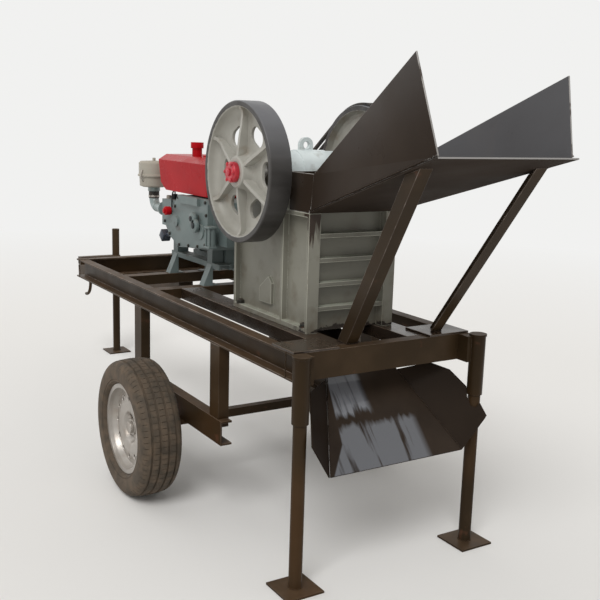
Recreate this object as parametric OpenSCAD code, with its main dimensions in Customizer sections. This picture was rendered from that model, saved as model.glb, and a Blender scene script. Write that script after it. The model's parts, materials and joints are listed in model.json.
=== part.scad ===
// Jaw crusher on a towable chassis, driven by a single-cylinder engine.
// +X is the hopper end, +Z is up, millimetres. The origin is on the ground,
// on the centreline, midway between the prop leg's foot and the hopper's lip.

/* [Chassis] */
// Length of the chassis frame
chassis_len = 2316; // [2200:1:2500]
// Width of the chassis frame
chassis_w = 790; // [760:1:860]
// Height of the chassis top above the ground
deck_h = 840; // [800:1:900]
// Height of the rolled channel
rail_h = 100; // [90:1:110]
// Width of the channel's flanges
rail_flange = 50; // [45:1:55]
// Thickness of the channel's web
rail_web = 6; // [5:0.5:8]
// Thickness of the channel's flanges
rail_flange_t = 8; // [6:0.5:9]
// Height of the bearers and cross members
bearer_h = 50; // [45:1:55]
// Width of the crusher bearers
bearer_w = 100; // [90:1:110]
// Distance between the outer edges of the crusher bearers
bearer_span = 470; // [460:1:480]
// Width of the engine's cross members
cross_w = 60; // [50:1:70]
// First engine cross member, from the chassis rear end
cross_1_from_rear = 590; // [560:1:620]
// Second engine cross member, from the chassis rear end
cross_2_from_rear = 985; // [960:1:1000]
// Thickness of the plates on the front corners
corner_plate_t = 8; // [6:1:10]
// Length of the corner plates along the rails
corner_plate_l = 150; // [130:1:170]
// Width of the corner plates across the chassis
corner_plate_w = 190; // [170:1:200]

/* [Running gear] */
// Axle position, from the chassis rear end
axle_from_rear = 1309; // [1280:1:1340]
// Outer diameter of the tyre
tyre_d = 596; // [580:1:604]
// Width of the tyre
tyre_w = 180; // [175:1:185]
// Distance over the outer faces of the tyres
tyre_span = 1296; // [1280:1:1310]
// Diameter over the rim's flanges
rim_d = 390; // [380:1:396]
// Depth of the rim's outer flange inside the tyre's face
rim_inset = 20; // [16:1:24]
// Square bar of the axle
axle_bar = 38; // [34:1:40]
// Radius of the axle's spindle
spindle_r = 20; // [18:0.5:22]
// Distance from the axle to each post
post_from_axle = 408; // [390:1:420]
// Post size along the chassis
post_l = 80; // [70:1:90]
// Post size across the chassis
post_w = 46; // [40:1:48]
// Wall of the post
post_wall = 4; // [3:0.5:5]
// Length of the beam above the axle
beam_len = 968; // [940:1:1000]
// Height of the beam's underside above the axle's centre
beam_lift = 41; // [38:1:46]
// Gap below the post's foot to the beam's underside
post_foot_gap = 64; // [55:1:70]

/* [Legs] */
// Outer diameter of the leg pipe
leg_d = 48.3; // [45:0.1:50]
// Outer diameter of the sleeve pipe
sleeve_d = 60.3; // [58:0.1:64]
// Running gap between leg and sleeve
leg_gap = 0.5; // [0.3:0.1:0.8]
// Side of the square foot plates
foot_w = 150; // [140:1:160]
// Thickness of the foot plates
foot_t = 8; // [6:1:10]
// Length of the front sleeves
sleeve_len = 230; // [200:1:260]
// Packing between front rail and sleeve
leg_packing = 25; // [20:1:30]
// Height of the prop leg's top
prop_leg_h = 863; // [840:1:900]
// Prop leg's axis behind the chassis
prop_leg_reach = 1045; // [1020:1:1070]
// Prop leg's axis beside the centreline
prop_leg_side = 218; // [205:1:230]
// Square tube of the arm that holds the prop leg
prop_arm = 50; // [45:1:55]

/* [Drawbar] */
// Length of the drawbar beyond the prop leg
drawbar_end = 25; // [20:1:45]
// Drop of the drawbar over its reach
drawbar_drop = 113; // [105:1:120]
// Width of the drawbar
drawbar_w = 80; // [70:1:90]
// Height of the drawbar
drawbar_h = 80; // [70:1:85]
// Diameter of the tow hook's rod
hook_d = 20; // [18:1:24]

/* [Crusher frame] */
// Rear face of the crusher, from the chassis rear end
crusher_from_rear = 1500; // [1490:1:1510]
// Length of the crusher frame
crusher_len = 585; // [575:1:595]
// Width over the crusher's flanges
crusher_w = 400; // [396:1:410]
// Height of the crusher's front section
crusher_h = 452; // [440:1:460]
// Height of the rear flange
rear_flange_h = 380; // [360:1:400]
// Middle rib, from the crusher's rear face
mid_rib_from_rear = 385; // [370:1:395]
// Thickness of the base flange
base_t = 20; // [16:1:24]
// Thickness of the side plates
side_t = 25; // [22:1:28]
// Clear width between the side plates
chamber_w = 300; // [294:1:304]
// Thickness of the ribs and flanges
rib_t = 16; // [12:1:18]
// Thickness of the end walls
wall_t = 25; // [20:1:28]
// Depth of the front wall behind the front flanges
front_recess = 38; // [32:1:44]
// Number of ribs on the front wall
front_ribs = 4; // [3:1:5]
// Spacing of the ribs on the front wall
front_rib_pitch = 92; // [86:1:98]
// Depth of the boss on each side plate
boss_depth = 12; // [8:1:16]

/* [Jaws] */
// Shaft position, from the crusher's rear face
shaft_from_rear = 246; // [240:1:252]
// Height of the shaft above the chassis top
shaft_h = 581.5; // [575:0.5:590]
// Width of the jaw plates
jaw_w = 250; // [240:1:256]
// Thickness of the jaw plates
jaw_t = 38; // [32:1:44]
// Number of teeth across a jaw plate
jaw_teeth = 8; // [6:1:10]
// Depth of the jaw teeth
tooth_h = 12; // [8:1:14]
// Opening between the jaws at the top
gape = 150; // [140:1:160]
// Opening between the jaws at the bottom
discharge_gap = 32; // [25:1:40]
// Radius of the swing jaw's barrel
barrel_r = 88; // [84:1:92]
// Radius of the lifting eye
eye_r = 31; // [28:1:34]
// Thickness of the lifting eye
eye_t = 18; // [14:1:22]
// Thickness of the toggle plate
toggle_t = 20; // [16:1:24]
// Height of the toggle plate above the chassis top
toggle_h = 115; // [110:1:120]
// Radius of the tension rod
rod_r = 10; // [8:0.5:12]
// Height of the tension rod above the chassis top
rod_h = 64; // [60:1:68]

/* [Shaft and flywheels] */
// Shaft radius in the bearings
shaft_r = 42; // [38:1:45]
// Running clearance of the shaft in its bearings
shaft_gap = 0.05; // [0.03:0.01:0.08]
// Radius of the eccentric
eccentric_r = 50; // [48:1:52]
// Throw of the eccentric
throw = 6; // [4:0.5:7]
// Clearance of the eccentric's sweep in the barrel
eccentric_gap = 6; // [5:0.5:8]
// Radius of the bearing housings
housing_r = 74; // [70:1:78]
// Width of the bearing housings
housing_w = 46; // [40:1:50]
// Radius of the flywheels
flywheel_r = 271; // [262:1:276]
// Width of the flywheel rim
flywheel_w = 91; // [84:1:96]
// Distance over the outer faces of the flywheels
flywheel_span = 656; // [648:1:664]
// Thickness of the flywheel rim
rim_t = 24; // [20:1:30]
// Depth of the flywheel's web behind its outer face
web_depth = 47; // [42:1:52]
// Thickness of the flywheel's web
web_t = 13; // [10:1:16]
// Number of spokes
spokes = 6; // [5:1:7]
// Thickness of a spoke's fin
fin_t = 15; // [12:1:18]
// Radius of the flywheel's hub
hub_r = 64; // [58:1:68]
// Radius of the hub cap
cap_r = 40; // [36:1:44]
// Length of the hub cap
cap_l = 26; // [20:1:30]

/* [Hopper] */
// Reach of the hopper's lip in front of the chassis
hopper_reach = 564; // [540:1:590]
// Height of the hopper's lip above the ground
lip_h = 1528; // [1515:1:1540]
// Width of the hopper at its lip
lip_w = 574; // [560:1:590]
// Thickness of the hopper's sheets
sheet_t = 5; // [4:0.5:6]
// Height of the throat's side walls
throat_h = 144; // [136:1:150]
// Rear end of the throat, behind the crusher's front face
throat_back = 145; // [135:1:149]
// Tip of the wings behind the lip
wing_tip_back = 90; // [80:1:100]
// Rise of the near wing's tip above the lip
near_wing_rise = 296; // [280:1:310]
// Rise of the far wing's tip above the lip
far_wing_rise = 259; // [250:1:270]
// Height of the far wing's rear corner above the crusher
far_wing_back = 198; // [180:1:205]
// Spread of the wing tips beyond the lip
wing_spread = 26; // [20:1:32]
// Far wing's foot inside the floor's edge at the lip
far_wing_inset = 28; // [20:1:34]
// Leg of the struts' angle section
strut_leg = 50; // [45:1:55]
// Thickness of the struts' angle section
strut_t = 5; // [4:0.5:6]
// Near strut's foot beside the centreline
near_strut_side = 150; // [140:1:160]
// Far strut's foot beside the centreline
far_strut_side = 292; // [285:1:300]
// Struts' tops behind the lip
strut_back = 115; // [105:1:125]

/* [Chute] */
// Lip of the chute in front of the chassis
chute_reach = 109; // [100:1:120]
// Height of the chute's lip above the ground
chute_lip_h = 415; // [400:1:430]
// Width of the chute at its lip
chute_lip_w = 598; // [580:1:610]
// Width of the chute under the front rail
chute_neck_w = 320; // [300:1:330]
// Chute's bend behind the chassis front
chute_neck_back = 144; // [135:1:150]
// Rear end of the chute behind the chassis front
chute_back = 620; // [590:1:640]

/* [Engine] */
// Engine's crankshaft, from the chassis rear end
crank_from_rear = 1040; // [1030:1:1050]
// Height of the crankshaft above the chassis top
crank_h = 290; // [285:1:295]
// Cylinder end of the crankcase, behind the crankshaft
case_back = 395; // [385:1:405]
// Near side of the crankcase beside the centreline
case_near = 142; // [136:1:148]
// Far side of the crankcase beside the centreline
case_far = 115; // [110:1:118]
// Thickness of the gear cover
cover_t = 28; // [22:1:32]
// Height of the engine's feet above the chassis top
engine_foot_h = 110; // [104:1:114]
// Length of the cylinder head
head_l = 95; // [88:1:102]
// Length of the fuel tank
tank_len = 560; // [550:1:570]
// Height of the fuel tank
tank_h = 172; // [165:1:178]
// Width of the fuel tank
tank_w = 270; // [260:1:275]
// Radius of the tank's filler neck
neck_r = 24; // [21:1:27]
// Radius of the air cleaner
cleaner_r = 84; // [80:1:88]
// Height of the air cleaner
cleaner_h = 132; // [126:1:138]
// Radius of the intake pipe
intake_r = 23.5; // [21:0.5:25]
// Bend radius of the intake pipe
intake_bend = 50; // [45:1:55]
// Radius of the drive pulley
pulley_r = 90; // [85:1:95]
// Radius of the engine's flywheel
engine_wheel_r = 185; // [175:1:190]
// Width of the engine's flywheel
engine_wheel_w = 65; // [60:1:70]
// Thickness of the belts
belt_t = 11; // [9:1:12]
// Width of one belt
belt_w = 17; // [15:1:19]
// Gap between belts and pulleys
belt_gap = 0.6; // [0.5:0.1:0.8]

/* [Hidden] */
$fn = 64;
seat_gap = 0.3;

drawbar_reach = prop_leg_reach + drawbar_end;
total_len = prop_leg_reach + foot_w / 2 + chassis_len + hopper_reach;
rear_x = prop_leg_reach + foot_w / 2 - total_len / 2;
front_x = rear_x + chassis_len;
half_w = chassis_w / 2;
rail_z = deck_h - rail_h;
bearer_z = deck_h - bearer_h;
axle_x = rear_x + axle_from_rear;
axle_z = tyre_d / 2;
leg_x = front_x + leg_packing + sleeve_d / 2;
drawbar_slope = atan(drawbar_drop / (drawbar_reach + rail_flange));
drawbar_end_z = rail_z - drawbar_drop - seat_gap;
prop_arm_z = drawbar_end_z + (drawbar_reach - prop_leg_reach + prop_arm / 2) * tan(drawbar_slope) + seat_gap;
prop_x = rear_x - prop_leg_reach;
crusher_x = rear_x + crusher_from_rear;
crusher_front_x = crusher_x + crusher_len;
crusher_top = deck_h + crusher_h;
crusher_y = crusher_w / 2;
shaft_x = crusher_x + shaft_from_rear;
shaft_z = deck_h + shaft_h;
inner_y = chamber_w / 2;
side_top = shaft_z - housing_r - 4;
front_wall_x = crusher_front_x - front_recess - wall_t;
rear_wall_x = crusher_x + rib_t + seat_gap;
fixed_face_x = front_wall_x - jaw_t;
jaw_low = deck_h + base_t + 30;
jaw_high = crusher_top - 20;
swing_top = [fixed_face_x - gape, jaw_high];
swing_low = [fixed_face_x - discharge_gap, jaw_low];
swing_tilt = atan((swing_low[0] - swing_top[0]) / (swing_top[1] - swing_low[1]));
swing_len = norm(swing_top - swing_low);
swing_back = jaw_t * [cos(swing_tilt), sin(swing_tilt)];
swing_seat_x = swing_low[0] - swing_back[0] - 95;
toggle_z = deck_h + toggle_h;
rod_z = deck_h + rod_h;
toggle_block_l = 110;
rim_y = flywheel_span / 2;
hub_end = rim_y + 4;
lip_x = front_x + hopper_reach;
lip_y = lip_w / 2;
chute_lip_x = front_x + chute_reach;
chute_neck_x = front_x - chute_neck_back;
chute_neck_z = rail_z - 54;
crank_x = rear_x + crank_from_rear;
crank_z = deck_h + crank_h;
foot_z = deck_h + engine_foot_h;
case_top = crank_z + 130;
head_x = crank_x - case_back - head_l;
seat_w = 14;
stand_y = [-46, 76];
tank_z = case_top + 8;
tank_x = head_x + 18;
intake_x = head_x - 155;
intake_y = -100;
intake_z = crank_z + 30;
cleaner_z = intake_z + intake_bend + 52;
wheel_y = case_far + 10;
cross_mid = [rear_x + cross_1_from_rear + cross_w / 2, rear_x + cross_2_from_rear + cross_w / 2];

// Rolled channel along X: web at y = 0, flanges towards +Y
module channel(length, height, flange, web, flange_t) {
    rotate([90, 0, 90])
    linear_extrude(length)
    polygon([
        [0, 0], [flange, 0], [flange, flange_t], [web, flange_t],
        [web, height - flange_t], [flange, height - flange_t],
        [flange, height], [0, height]
    ]);
}

// Unit normal of the plane through a sheet's first three corners
function sheet_normal(p) =
    let (n = cross(p[1] - p[0], p[2] - p[0]))
    n / norm(n);

// Flat plate of any outline whose points lie in one plane, thickened along its normal
module plate_on(points, thickness) {
    o = points[0];
    u = (points[1] - o) / norm(points[1] - o);
    n = sheet_normal(points);
    v = cross(n, u);
    multmatrix([
        [u[0], v[0], n[0], o[0]],
        [u[1], v[1], n[1], o[1]],
        [u[2], v[2], n[2], o[2]],
        [0, 0, 0, 1]
    ])
    linear_extrude(thickness)
    polygon([for (p = points) [(p - o) * u, (p - o) * v]]);
}

// Point of the plane through three others that lies at x and z
function on_plane(p, x, z) =
    let (n = cross(p[1] - p[0], p[2] - p[0]))
    [x, p[0][1] - (n[0] * (x - p[0][0]) + n[2] * (z - p[0][2])) / n[1], z];

// Points along an arc, for outlines that wrap round a pulley
function arc(c, r, from, to, steps) =
    [for (i = [0:steps]) let (a = from + (to - from) * i / steps) c + r * [cos(a), sin(a)]];

module disc_y(x, z, r, y, width) {
    translate([x, y, z])
    rotate([-90, 0, 0])
    cylinder(r = r, h = width);
}

// Outline in X and Z, extruded towards -Y from y
module wall_y(points, y, thickness) {
    translate([0, y, 0])
    rotate([90, 0, 0])
    linear_extrude(thickness)
    polygon(points);
}

module both_sides() {
    for (side = [0, 1])
        mirror([0, side, 0])
        children();
}

// Chassis

module side_rails() {
    color("#2e2623")
    both_sides()
    translate([rear_x, half_w - rail_flange, rail_z])
    channel(chassis_len - rail_flange, rail_h, rail_flange, rail_web, rail_flange_t);
}

module end_rails() {
    color("#2e2623") {
        translate([rear_x, half_w - rail_flange, rail_z])
        rotate([0, 0, -90])
        channel(chassis_w - 2 * rail_flange, rail_h, rail_flange, rail_web, rail_flange_t);
        translate([front_x, -half_w, rail_z])
        rotate([0, 0, 90])
        channel(chassis_w, rail_h, rail_flange, rail_web, rail_flange_t);
    }
}

// Shallow channel laid flat, web on top, open underneath
module flat_channel(length, width) {
    rotate([90, 0, 90])
    linear_extrude(length)
    polygon([
        [0, 0], [rail_web, 0], [rail_web, bearer_h - rail_web], [width - rail_web, bearer_h - rail_web],
        [width - rail_web, 0], [width, 0], [width, bearer_h], [0, bearer_h]
    ]);
}

module crusher_bearers() {
    start = rear_x + cross_2_from_rear + cross_w;
    color("#2e2623")
    both_sides()
    translate([start, bearer_span / 2 - bearer_w, bearer_z])
    flat_channel(front_x - rail_flange - start, bearer_w);
}

module engine_cross_members() {
    color("#2e2623")
    for (x = cross_mid)
        translate([x + cross_w / 2, -half_w + rail_flange, bearer_z])
        rotate([0, 0, 90])
        flat_channel(chassis_w - 2 * rail_flange, cross_w);
}

module corner_plates() {
    color("#3d3a35")
    both_sides()
    translate([front_x - corner_plate_l, half_w - corner_plate_w, deck_h])
    cube([corner_plate_l, corner_plate_w, corner_plate_t]);
}

// Running gear

module axle_posts() {
    foot = axle_z + beam_lift + post_foot_gap;
    color("#2e2623")
    both_sides()
    for (end = [-1, 1])
        translate([axle_x + end * post_from_axle - post_l / 2, half_w - post_w - seat_gap, foot])
        linear_extrude(rail_z - foot)
        difference() {
            square([post_l, post_w]);
            translate([post_wall, post_wall])
            square([post_l - 2 * post_wall, post_w - 2 * post_wall]);
        }
}

module axle_beams() {
    color("#2e2623")
    both_sides()
    difference() {
        translate([axle_x - beam_len / 2, half_w + rail_web, axle_z + beam_lift])
        mirror([0, 1, 0])
        channel(beam_len, rail_h, rail_flange, rail_web, rail_flange_t);
        for (end = [-1, 1])
            translate([
                axle_x + end * post_from_axle - post_l / 2 - seat_gap, half_w - rail_flange,
                axle_z + beam_lift + rail_h / 2
            ])
            cube([post_l + 2 * seat_gap, rail_flange, rail_h]);
    }
}

module axle() {
    beam_y = half_w + rail_web;
    square_end = beam_y + 20;
    spindle_end = tyre_span / 2 - tyre_w / 2 + 28;
    color("#2e2623") {
        translate([axle_x - axle_bar / 2, -square_end, axle_z - axle_bar / 2])
        cube([axle_bar, 2 * square_end, axle_bar]);
        both_sides() {
            disc_y(axle_x, axle_z, spindle_r, square_end - 1, spindle_end - square_end + 1);
            translate([axle_x - 45, beam_y - rail_flange, axle_z + axle_bar / 2 - 1])
            cube([90, rail_flange, beam_lift - axle_bar / 2 + 1]);
        }
    }
}

module tyre() {
    shoulder = tyre_d / 2 - 14;
    bead = rim_d / 2 - 14;
    bead_y = tyre_w / 2 - rim_inset - 6;
    translate([axle_x, tyre_span / 2 - tyre_w / 2, axle_z])
    rotate([90, 0, 0])
    rotate_extrude($fn = 96)
    difference() {
        polygon([
            [bead, -bead_y], [rim_d / 2 + 2, -bead_y], [rim_d / 2 + 8, -tyre_w / 2 + 10],
            [bead + 60, -tyre_w / 2], [shoulder - 20, -tyre_w / 2 + 5], [shoulder, -tyre_w / 2 + 14],
            [tyre_d / 2 - 4, -tyre_w / 2 + 24], [tyre_d / 2, -tyre_w / 2 + 44], [tyre_d / 2, tyre_w / 2 - 44],
            [tyre_d / 2 - 4, tyre_w / 2 - 24], [shoulder, tyre_w / 2 - 14], [shoulder - 20, tyre_w / 2 - 5],
            [bead + 60, tyre_w / 2], [rim_d / 2 + 8, tyre_w / 2 - 10], [rim_d / 2 + 2, bead_y], [bead, bead_y]
        ]);
        for (i = [-1.5:1:1.5])
            translate([tyre_d / 2 - 7, i * tyre_w / 5.4 - 3])
            square([10, 6]);
    }
}

module wheel_rim() {
    bead = rim_d / 2 - 14.3;
    half = tyre_w / 2 - rim_inset;
    translate([axle_x, tyre_span / 2 - tyre_w / 2, axle_z])
    rotate([-90, 0, 0])
    difference() {
        rotate_extrude($fn = 96)
        polygon([
            [spindle_r + 0.05, 8], [60, 8], [75, 30], [110, 36], [bead - 30, 24],
            [bead - 16, 0], [bead - 16, -30], [bead - 4, -half + 14], [bead - 4, -half], [rim_d / 2, -half],
            [rim_d / 2, -half + 5.7], [bead, -half + 5.7], [bead, -half + 18], [bead - 10, -30], [bead - 10, 30],
            [bead, half - 18], [bead, half - 5.7], [rim_d / 2, half - 5.7], [rim_d / 2, half],
            [bead - 4, half], [bead - 4, half - 14], [bead - 16, 30], [bead - 28, 34], [112, 44],
            [70, 38], [56, 16], [spindle_r + 14, 16], [spindle_r + 14, 30], [spindle_r + 0.05, 30]
        ]);
        for (i = [0:11])
            rotate(i * 30)
            translate([130, 0, 10])
            cylinder(r = 11, h = 50, $fn = 32);
    }
}

module near_tyre() {
    color("#3a3733")
    mirror([0, 1, 0])
    tyre();
}

module far_tyre() {
    color("#3a3733")
    tyre();
}

module near_rim() {
    color("#c8c8c6")
    mirror([0, 1, 0])
    wheel_rim();
}

module far_rim() {
    color("#c8c8c6")
    wheel_rim();
}

// Legs and drawbar

module front_leg_sleeves() {
    color("#2e2623")
    both_sides()
    translate([leg_x, half_w, 0]) {
        translate([0, 0, deck_h - sleeve_len])
        difference() {
            cylinder(d = sleeve_d, h = sleeve_len);
            translate([0, 0, -1])
            cylinder(d = leg_d + 2 * leg_gap, h = sleeve_len + 2);
        }
        translate([0, 0, deck_h])
        cylinder(d = sleeve_d + 6, h = corner_plate_t);
        translate([-sleeve_d / 2 - leg_packing, -rail_flange, rail_z])
        difference() {
            cube([leg_packing + sleeve_d / 2, rail_flange, rail_h]);
            translate([leg_packing + sleeve_d / 2, rail_flange, -1])
            cylinder(d = sleeve_d - 2, h = rail_h + 2);
        }
    }
}

module front_legs() {
    color("#2e2623")
    both_sides()
    translate([leg_x, half_w, 0]) {
        translate([-foot_w / 2, -foot_w / 2, 0])
        cube([foot_w, foot_w, foot_t]);
        cylinder(d = leg_d, h = deck_h - seat_gap);
    }
}

module drawbar() {
    run = (drawbar_reach + cross_1_from_rear) / cos(drawbar_slope) - 9;
    color("#2e2623")
    translate([rear_x - drawbar_reach, -drawbar_w / 2, drawbar_end_z])
    rotate([0, -drawbar_slope, 0])
    translate([0, 0, -drawbar_h])
    cube([run, drawbar_w, drawbar_h]);
}

module tow_hook() {
    bend = 90;
    top = drawbar_end_z - drawbar_h + 4;
    color("#2e2623")
    translate([rear_x - drawbar_reach + bend + 40, 0, 0]) {
        translate([0, 0, top - 30])
        cylinder(d = hook_d, h = 30 + 8 * drawbar_drop / 100 - 1, $fn = 32);
        translate([-bend, 0, top - 30])
        rotate([-90, 0, 0])
        rotate_extrude(angle = 90)
        translate([bend, 0])
        circle(d = hook_d, $fn = 24);
    }
}

module prop_leg_arm() {
    color("#2e2623")
    translate([prop_x, prop_leg_side, prop_arm_z])
    difference() {
        union() {
            cylinder(d = sleeve_d, h = prop_arm);
            translate([-prop_arm / 2, -prop_leg_side - drawbar_w / 2, 0])
            cube([prop_arm, prop_leg_side + drawbar_w / 2 - 6, prop_arm]);
        }
        translate([0, 0, -1])
        cylinder(d = leg_d + 2 * leg_gap, h = prop_arm + 2);
    }
}

module prop_leg() {
    color("#2e2623")
    translate([prop_x, prop_leg_side, 0]) {
        translate([-foot_w / 2, -foot_w / 2, 0])
        cube([foot_w, foot_w, foot_t]);
        cylinder(d = leg_d, h = prop_leg_h);
    }
}

// Crusher frame

module side_frame() {
    flange = crusher_y - inner_y;
    front_rib = crusher_front_x - rib_t;
    mid_rib = crusher_x + mid_rib_from_rear;
    wall_y([
        [crusher_x, deck_h], [crusher_front_x, deck_h], [crusher_front_x, crusher_top],
        [mid_rib + 45, crusher_top], [mid_rib, side_top],
        [shaft_x - 130, side_top], [crusher_x, deck_h + rear_flange_h]
    ], inner_y + side_t, side_t);
    translate([crusher_x, inner_y, deck_h])
    cube([crusher_len, flange, base_t]);
    translate([crusher_x, inner_y, deck_h])
    cube([rib_t, flange, rear_flange_h]);
    for (x = [mid_rib, front_rib])
        translate([x, inner_y, deck_h])
        cube([rib_t, flange, crusher_h]);
    translate([mid_rib, inner_y, crusher_top - rib_t])
    cube([crusher_front_x - mid_rib, flange, rib_t]);
    wall_y([
        [shaft_x - 46, deck_h + 60], [shaft_x + 50, deck_h + 60], [shaft_x + 50, deck_h + 145],
        [shaft_x + 24, deck_h + 170], [shaft_x - 46, deck_h + 118]
    ], inner_y + side_t + boss_depth, boss_depth + 1);
}

module side_frames() {
    color("#a3a196")
    both_sides()
    side_frame();
}

module front_wall() {
    color("#a3a196") {
        translate([front_wall_x, -inner_y, deck_h])
        cube([wall_t, chamber_w, crusher_h]);
        for (i = [0:front_ribs - 1])
            translate([front_wall_x + wall_t - 1, -inner_y, crusher_top - 85 - rib_t / 2 - i * front_rib_pitch])
            cube([front_recess - 3, chamber_w, rib_t]);
    }
}

module rear_wall() {
    color("#a3a196")
    difference() {
        union() {
            translate([rear_wall_x, -inner_y, deck_h])
            cube([wall_t, chamber_w, rear_flange_h - 60]);
            translate([rear_wall_x + wall_t - 1, -inner_y, toggle_z - 25])
            cube([toggle_block_l - wall_t + 1, chamber_w, 50]);
        }
        translate([rear_wall_x - 1, 0, rod_z])
        rotate([0, 90, 0])
        cylinder(r = rod_r + 4, h = wall_t + 2);
    }
}

// Toothed jaw plate: back at x = 0, teeth towards +X and running along Z
module jaw_plate(height) {
    pitch = jaw_w / jaw_teeth;
    linear_extrude(height)
    polygon(concat(
        [[0, -jaw_w / 2], [jaw_t - tooth_h, -jaw_w / 2]],
        [for (i = [0:jaw_teeth - 1], s = [0, 1])
            [s == 0 ? jaw_t : jaw_t - tooth_h, -jaw_w / 2 + (i + (s == 0 ? 0.5 : 1)) * pitch]],
        [[0, jaw_w / 2]]
    ));
}

module fixed_jaw() {
    color("#7d7f7c")
    translate([front_wall_x, 0, jaw_low])
    mirror([1, 0, 0])
    jaw_plate(jaw_high - jaw_low);
}

module swing_jaw_plate() {
    color("#7d7f7c")
    translate([swing_low[0], 0, swing_low[1]])
    rotate([0, -swing_tilt, 0])
    translate([-jaw_t, 0, 0])
    jaw_plate(swing_len);
}

module swing_jaw() {
    top_back = swing_top - swing_back;
    low_back = swing_low - swing_back;
    color("#b9c2c4")
    difference() {
        union() {
            wall_y([
                low_back, top_back, [top_back[0] + 20, top_back[1] + 60], [shaft_x + 80, shaft_z + 20],
                [shaft_x - 80, shaft_z + 20], [shaft_x - 80, shaft_z - 40],
                [swing_seat_x, toggle_z + 34], [swing_seat_x, low_back[1] + 12], [swing_seat_x + 14, low_back[1]]
            ], jaw_w / 2, jaw_w);
            disc_y(shaft_x, shaft_z, barrel_r - 4, -jaw_w / 2, jaw_w);
            disc_y(shaft_x, shaft_z, barrel_r, -68, 136);
            translate([shaft_x - eye_t / 2, 0, shaft_z + barrel_r + eye_r - 12])
            rotate([0, 90, 0]) {
                translate([0, -15, 0])
                cylinder(r = eye_r, h = eye_t);
                translate([0, -15 - eye_r, 0])
                cube([eye_r + 10, 2 * eye_r, eye_t]);
            }
        }
        disc_y(shaft_x, shaft_z, eccentric_r + throw + eccentric_gap, -jaw_w / 2 - 1, jaw_w + 2);
        translate([shaft_x - eye_t, -15, shaft_z + barrel_r + eye_r - 12])
        rotate([0, 90, 0])
        cylinder(r = eye_r * 0.46, h = 2 * eye_t);
    }
}

module cheek_plates() {
    color("#8c8e8a")
    for (y = [inner_y, -jaw_w / 2 - 5])
        wall_y([
            [swing_top[0] + tooth_h, jaw_high - 6], [fixed_face_x - 2, jaw_high - 6],
            [fixed_face_x - 2, jaw_low + gape * 0.6], [swing_top[0] + gape / 3, jaw_low + gape * 0.6]
        ], y, inner_y - jaw_w / 2 - 5);
}

module bearing_housings() {
    color("#9fa5a3")
    both_sides()
    difference() {
        union() {
            disc_y(shaft_x, shaft_z, housing_r, inner_y, housing_w);
            wall_y([
                [shaft_x - 1.5 * housing_r, side_top], [shaft_x + 1.5 * housing_r, side_top],
                [shaft_x + 1.5 * housing_r, side_top + 0.35 * housing_r],
                [shaft_x + 0.9 * housing_r, side_top + 0.6 * housing_r],
                [shaft_x - 0.9 * housing_r, side_top + 0.6 * housing_r],
                [shaft_x - 1.5 * housing_r, side_top + 0.35 * housing_r]
            ], inner_y + housing_w, housing_w);
        }
        disc_y(shaft_x, shaft_z, shaft_r + shaft_gap, inner_y - 1, housing_w + 2);
    }
}

module toggle_plate() {
    start = rear_wall_x + toggle_block_l + seat_gap;
    color("#7d7f7c")
    translate([start, -jaw_w / 2 + 10, toggle_z - toggle_t / 2])
    cube([swing_seat_x - seat_gap - start, jaw_w - 20, toggle_t]);
}

module tension_rod() {
    tail = crusher_x - 70;
    color("#8a8c88")
    translate([tail, 0, rod_z])
    rotate([0, 90, 0]) {
        cylinder(r = rod_r, h = swing_seat_x - seat_gap - tail);
        translate([0, 0, 12])
        cylinder(r = rod_r + 8, h = 12, $fn = 6);
        translate([0, 0, 23])
        cylinder(r = rod_r + 14, h = rear_wall_x - seat_gap - tail - 23);
    }
}

// Shaft and flywheels

module eccentric_shaft() {
    color("#8f9293") {
        disc_y(shaft_x, shaft_z, shaft_r, -hub_end, 2 * hub_end);
        disc_y(shaft_x + throw, shaft_z, eccentric_r, -jaw_w / 2 + 2, jaw_w - 4);
    }
}

// Flywheel round the Z axis: inner face at z = 0, hub standing out at the top
module flywheel() {
    inner = flywheel_r - rim_t;
    web = flywheel_w - web_depth;
    top = flywheel_w + hub_end - rim_y;
    hole_r = (hub_r + inner) / 2;
    span = inner - hub_r;
    hole_w = 0.175 * span;
    difference() {
        union() {
            rotate_extrude($fn = 96)
            polygon([
                [shaft_r, 0], [hub_r, 0], [hub_r, web - web_t - 16], [hub_r + 5, web - web_t - 5],
                [hub_r + 18, web - web_t], [inner - 22, web - web_t], [inner - 7, web - web_t - 5],
                [inner, web - web_t - 18], [inner + 3, 0], [flywheel_r - 2, 0], [flywheel_r, 2],
                [flywheel_r, flywheel_w - 3], [flywheel_r - 3, flywheel_w], [inner + 5, flywheel_w],
                [inner, flywheel_w - 5], [inner - 1, web + 24], [inner - 7, web + 9], [inner - 17, web + 2],
                [inner - 32, web], [hub_r + 26, web], [hub_r + 12, web + 3], [hub_r + 4, web + 12],
                [hub_r, web + 26], [hub_r - 3, top - 4], [hub_r - 8, top], [shaft_r, top]
            ]);
            for (i = [0:spokes - 1])
                rotate((i + 0.5) * 360 / spokes)
                translate([0, fin_t / 2, 0])
                rotate([90, 0, 0])
                linear_extrude(fin_t)
                polygon([
                    [hub_r - 12, web - 6], [inner + 6, web - 6], [inner + 6, flywheel_w - 7],
                    [inner + 2, flywheel_w - 8], [inner - 5, web + 33], [inner - 14, web + 26],
                    [inner - 30, web + 23], [hub_r + 0.6 * span, web + 28], [hub_r + 0.35 * span, web + 35],
                    [hub_r + 0.12 * span, web + 40], [hub_r - 12, web + 42]
                ]);
        }
        for (i = [0:spokes - 1])
            rotate(i * 360 / spokes)
            translate([hole_r, 0, web - web_t - 4])
            linear_extrude(web_t + 8)
            union() {
                square([2 * hole_w, hole_w], center = true);
                for (side = [-hole_w / 2, hole_w / 2])
                    translate([0, side])
                    circle(r = hole_w, $fn = 48);
            }
    }
}

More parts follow.
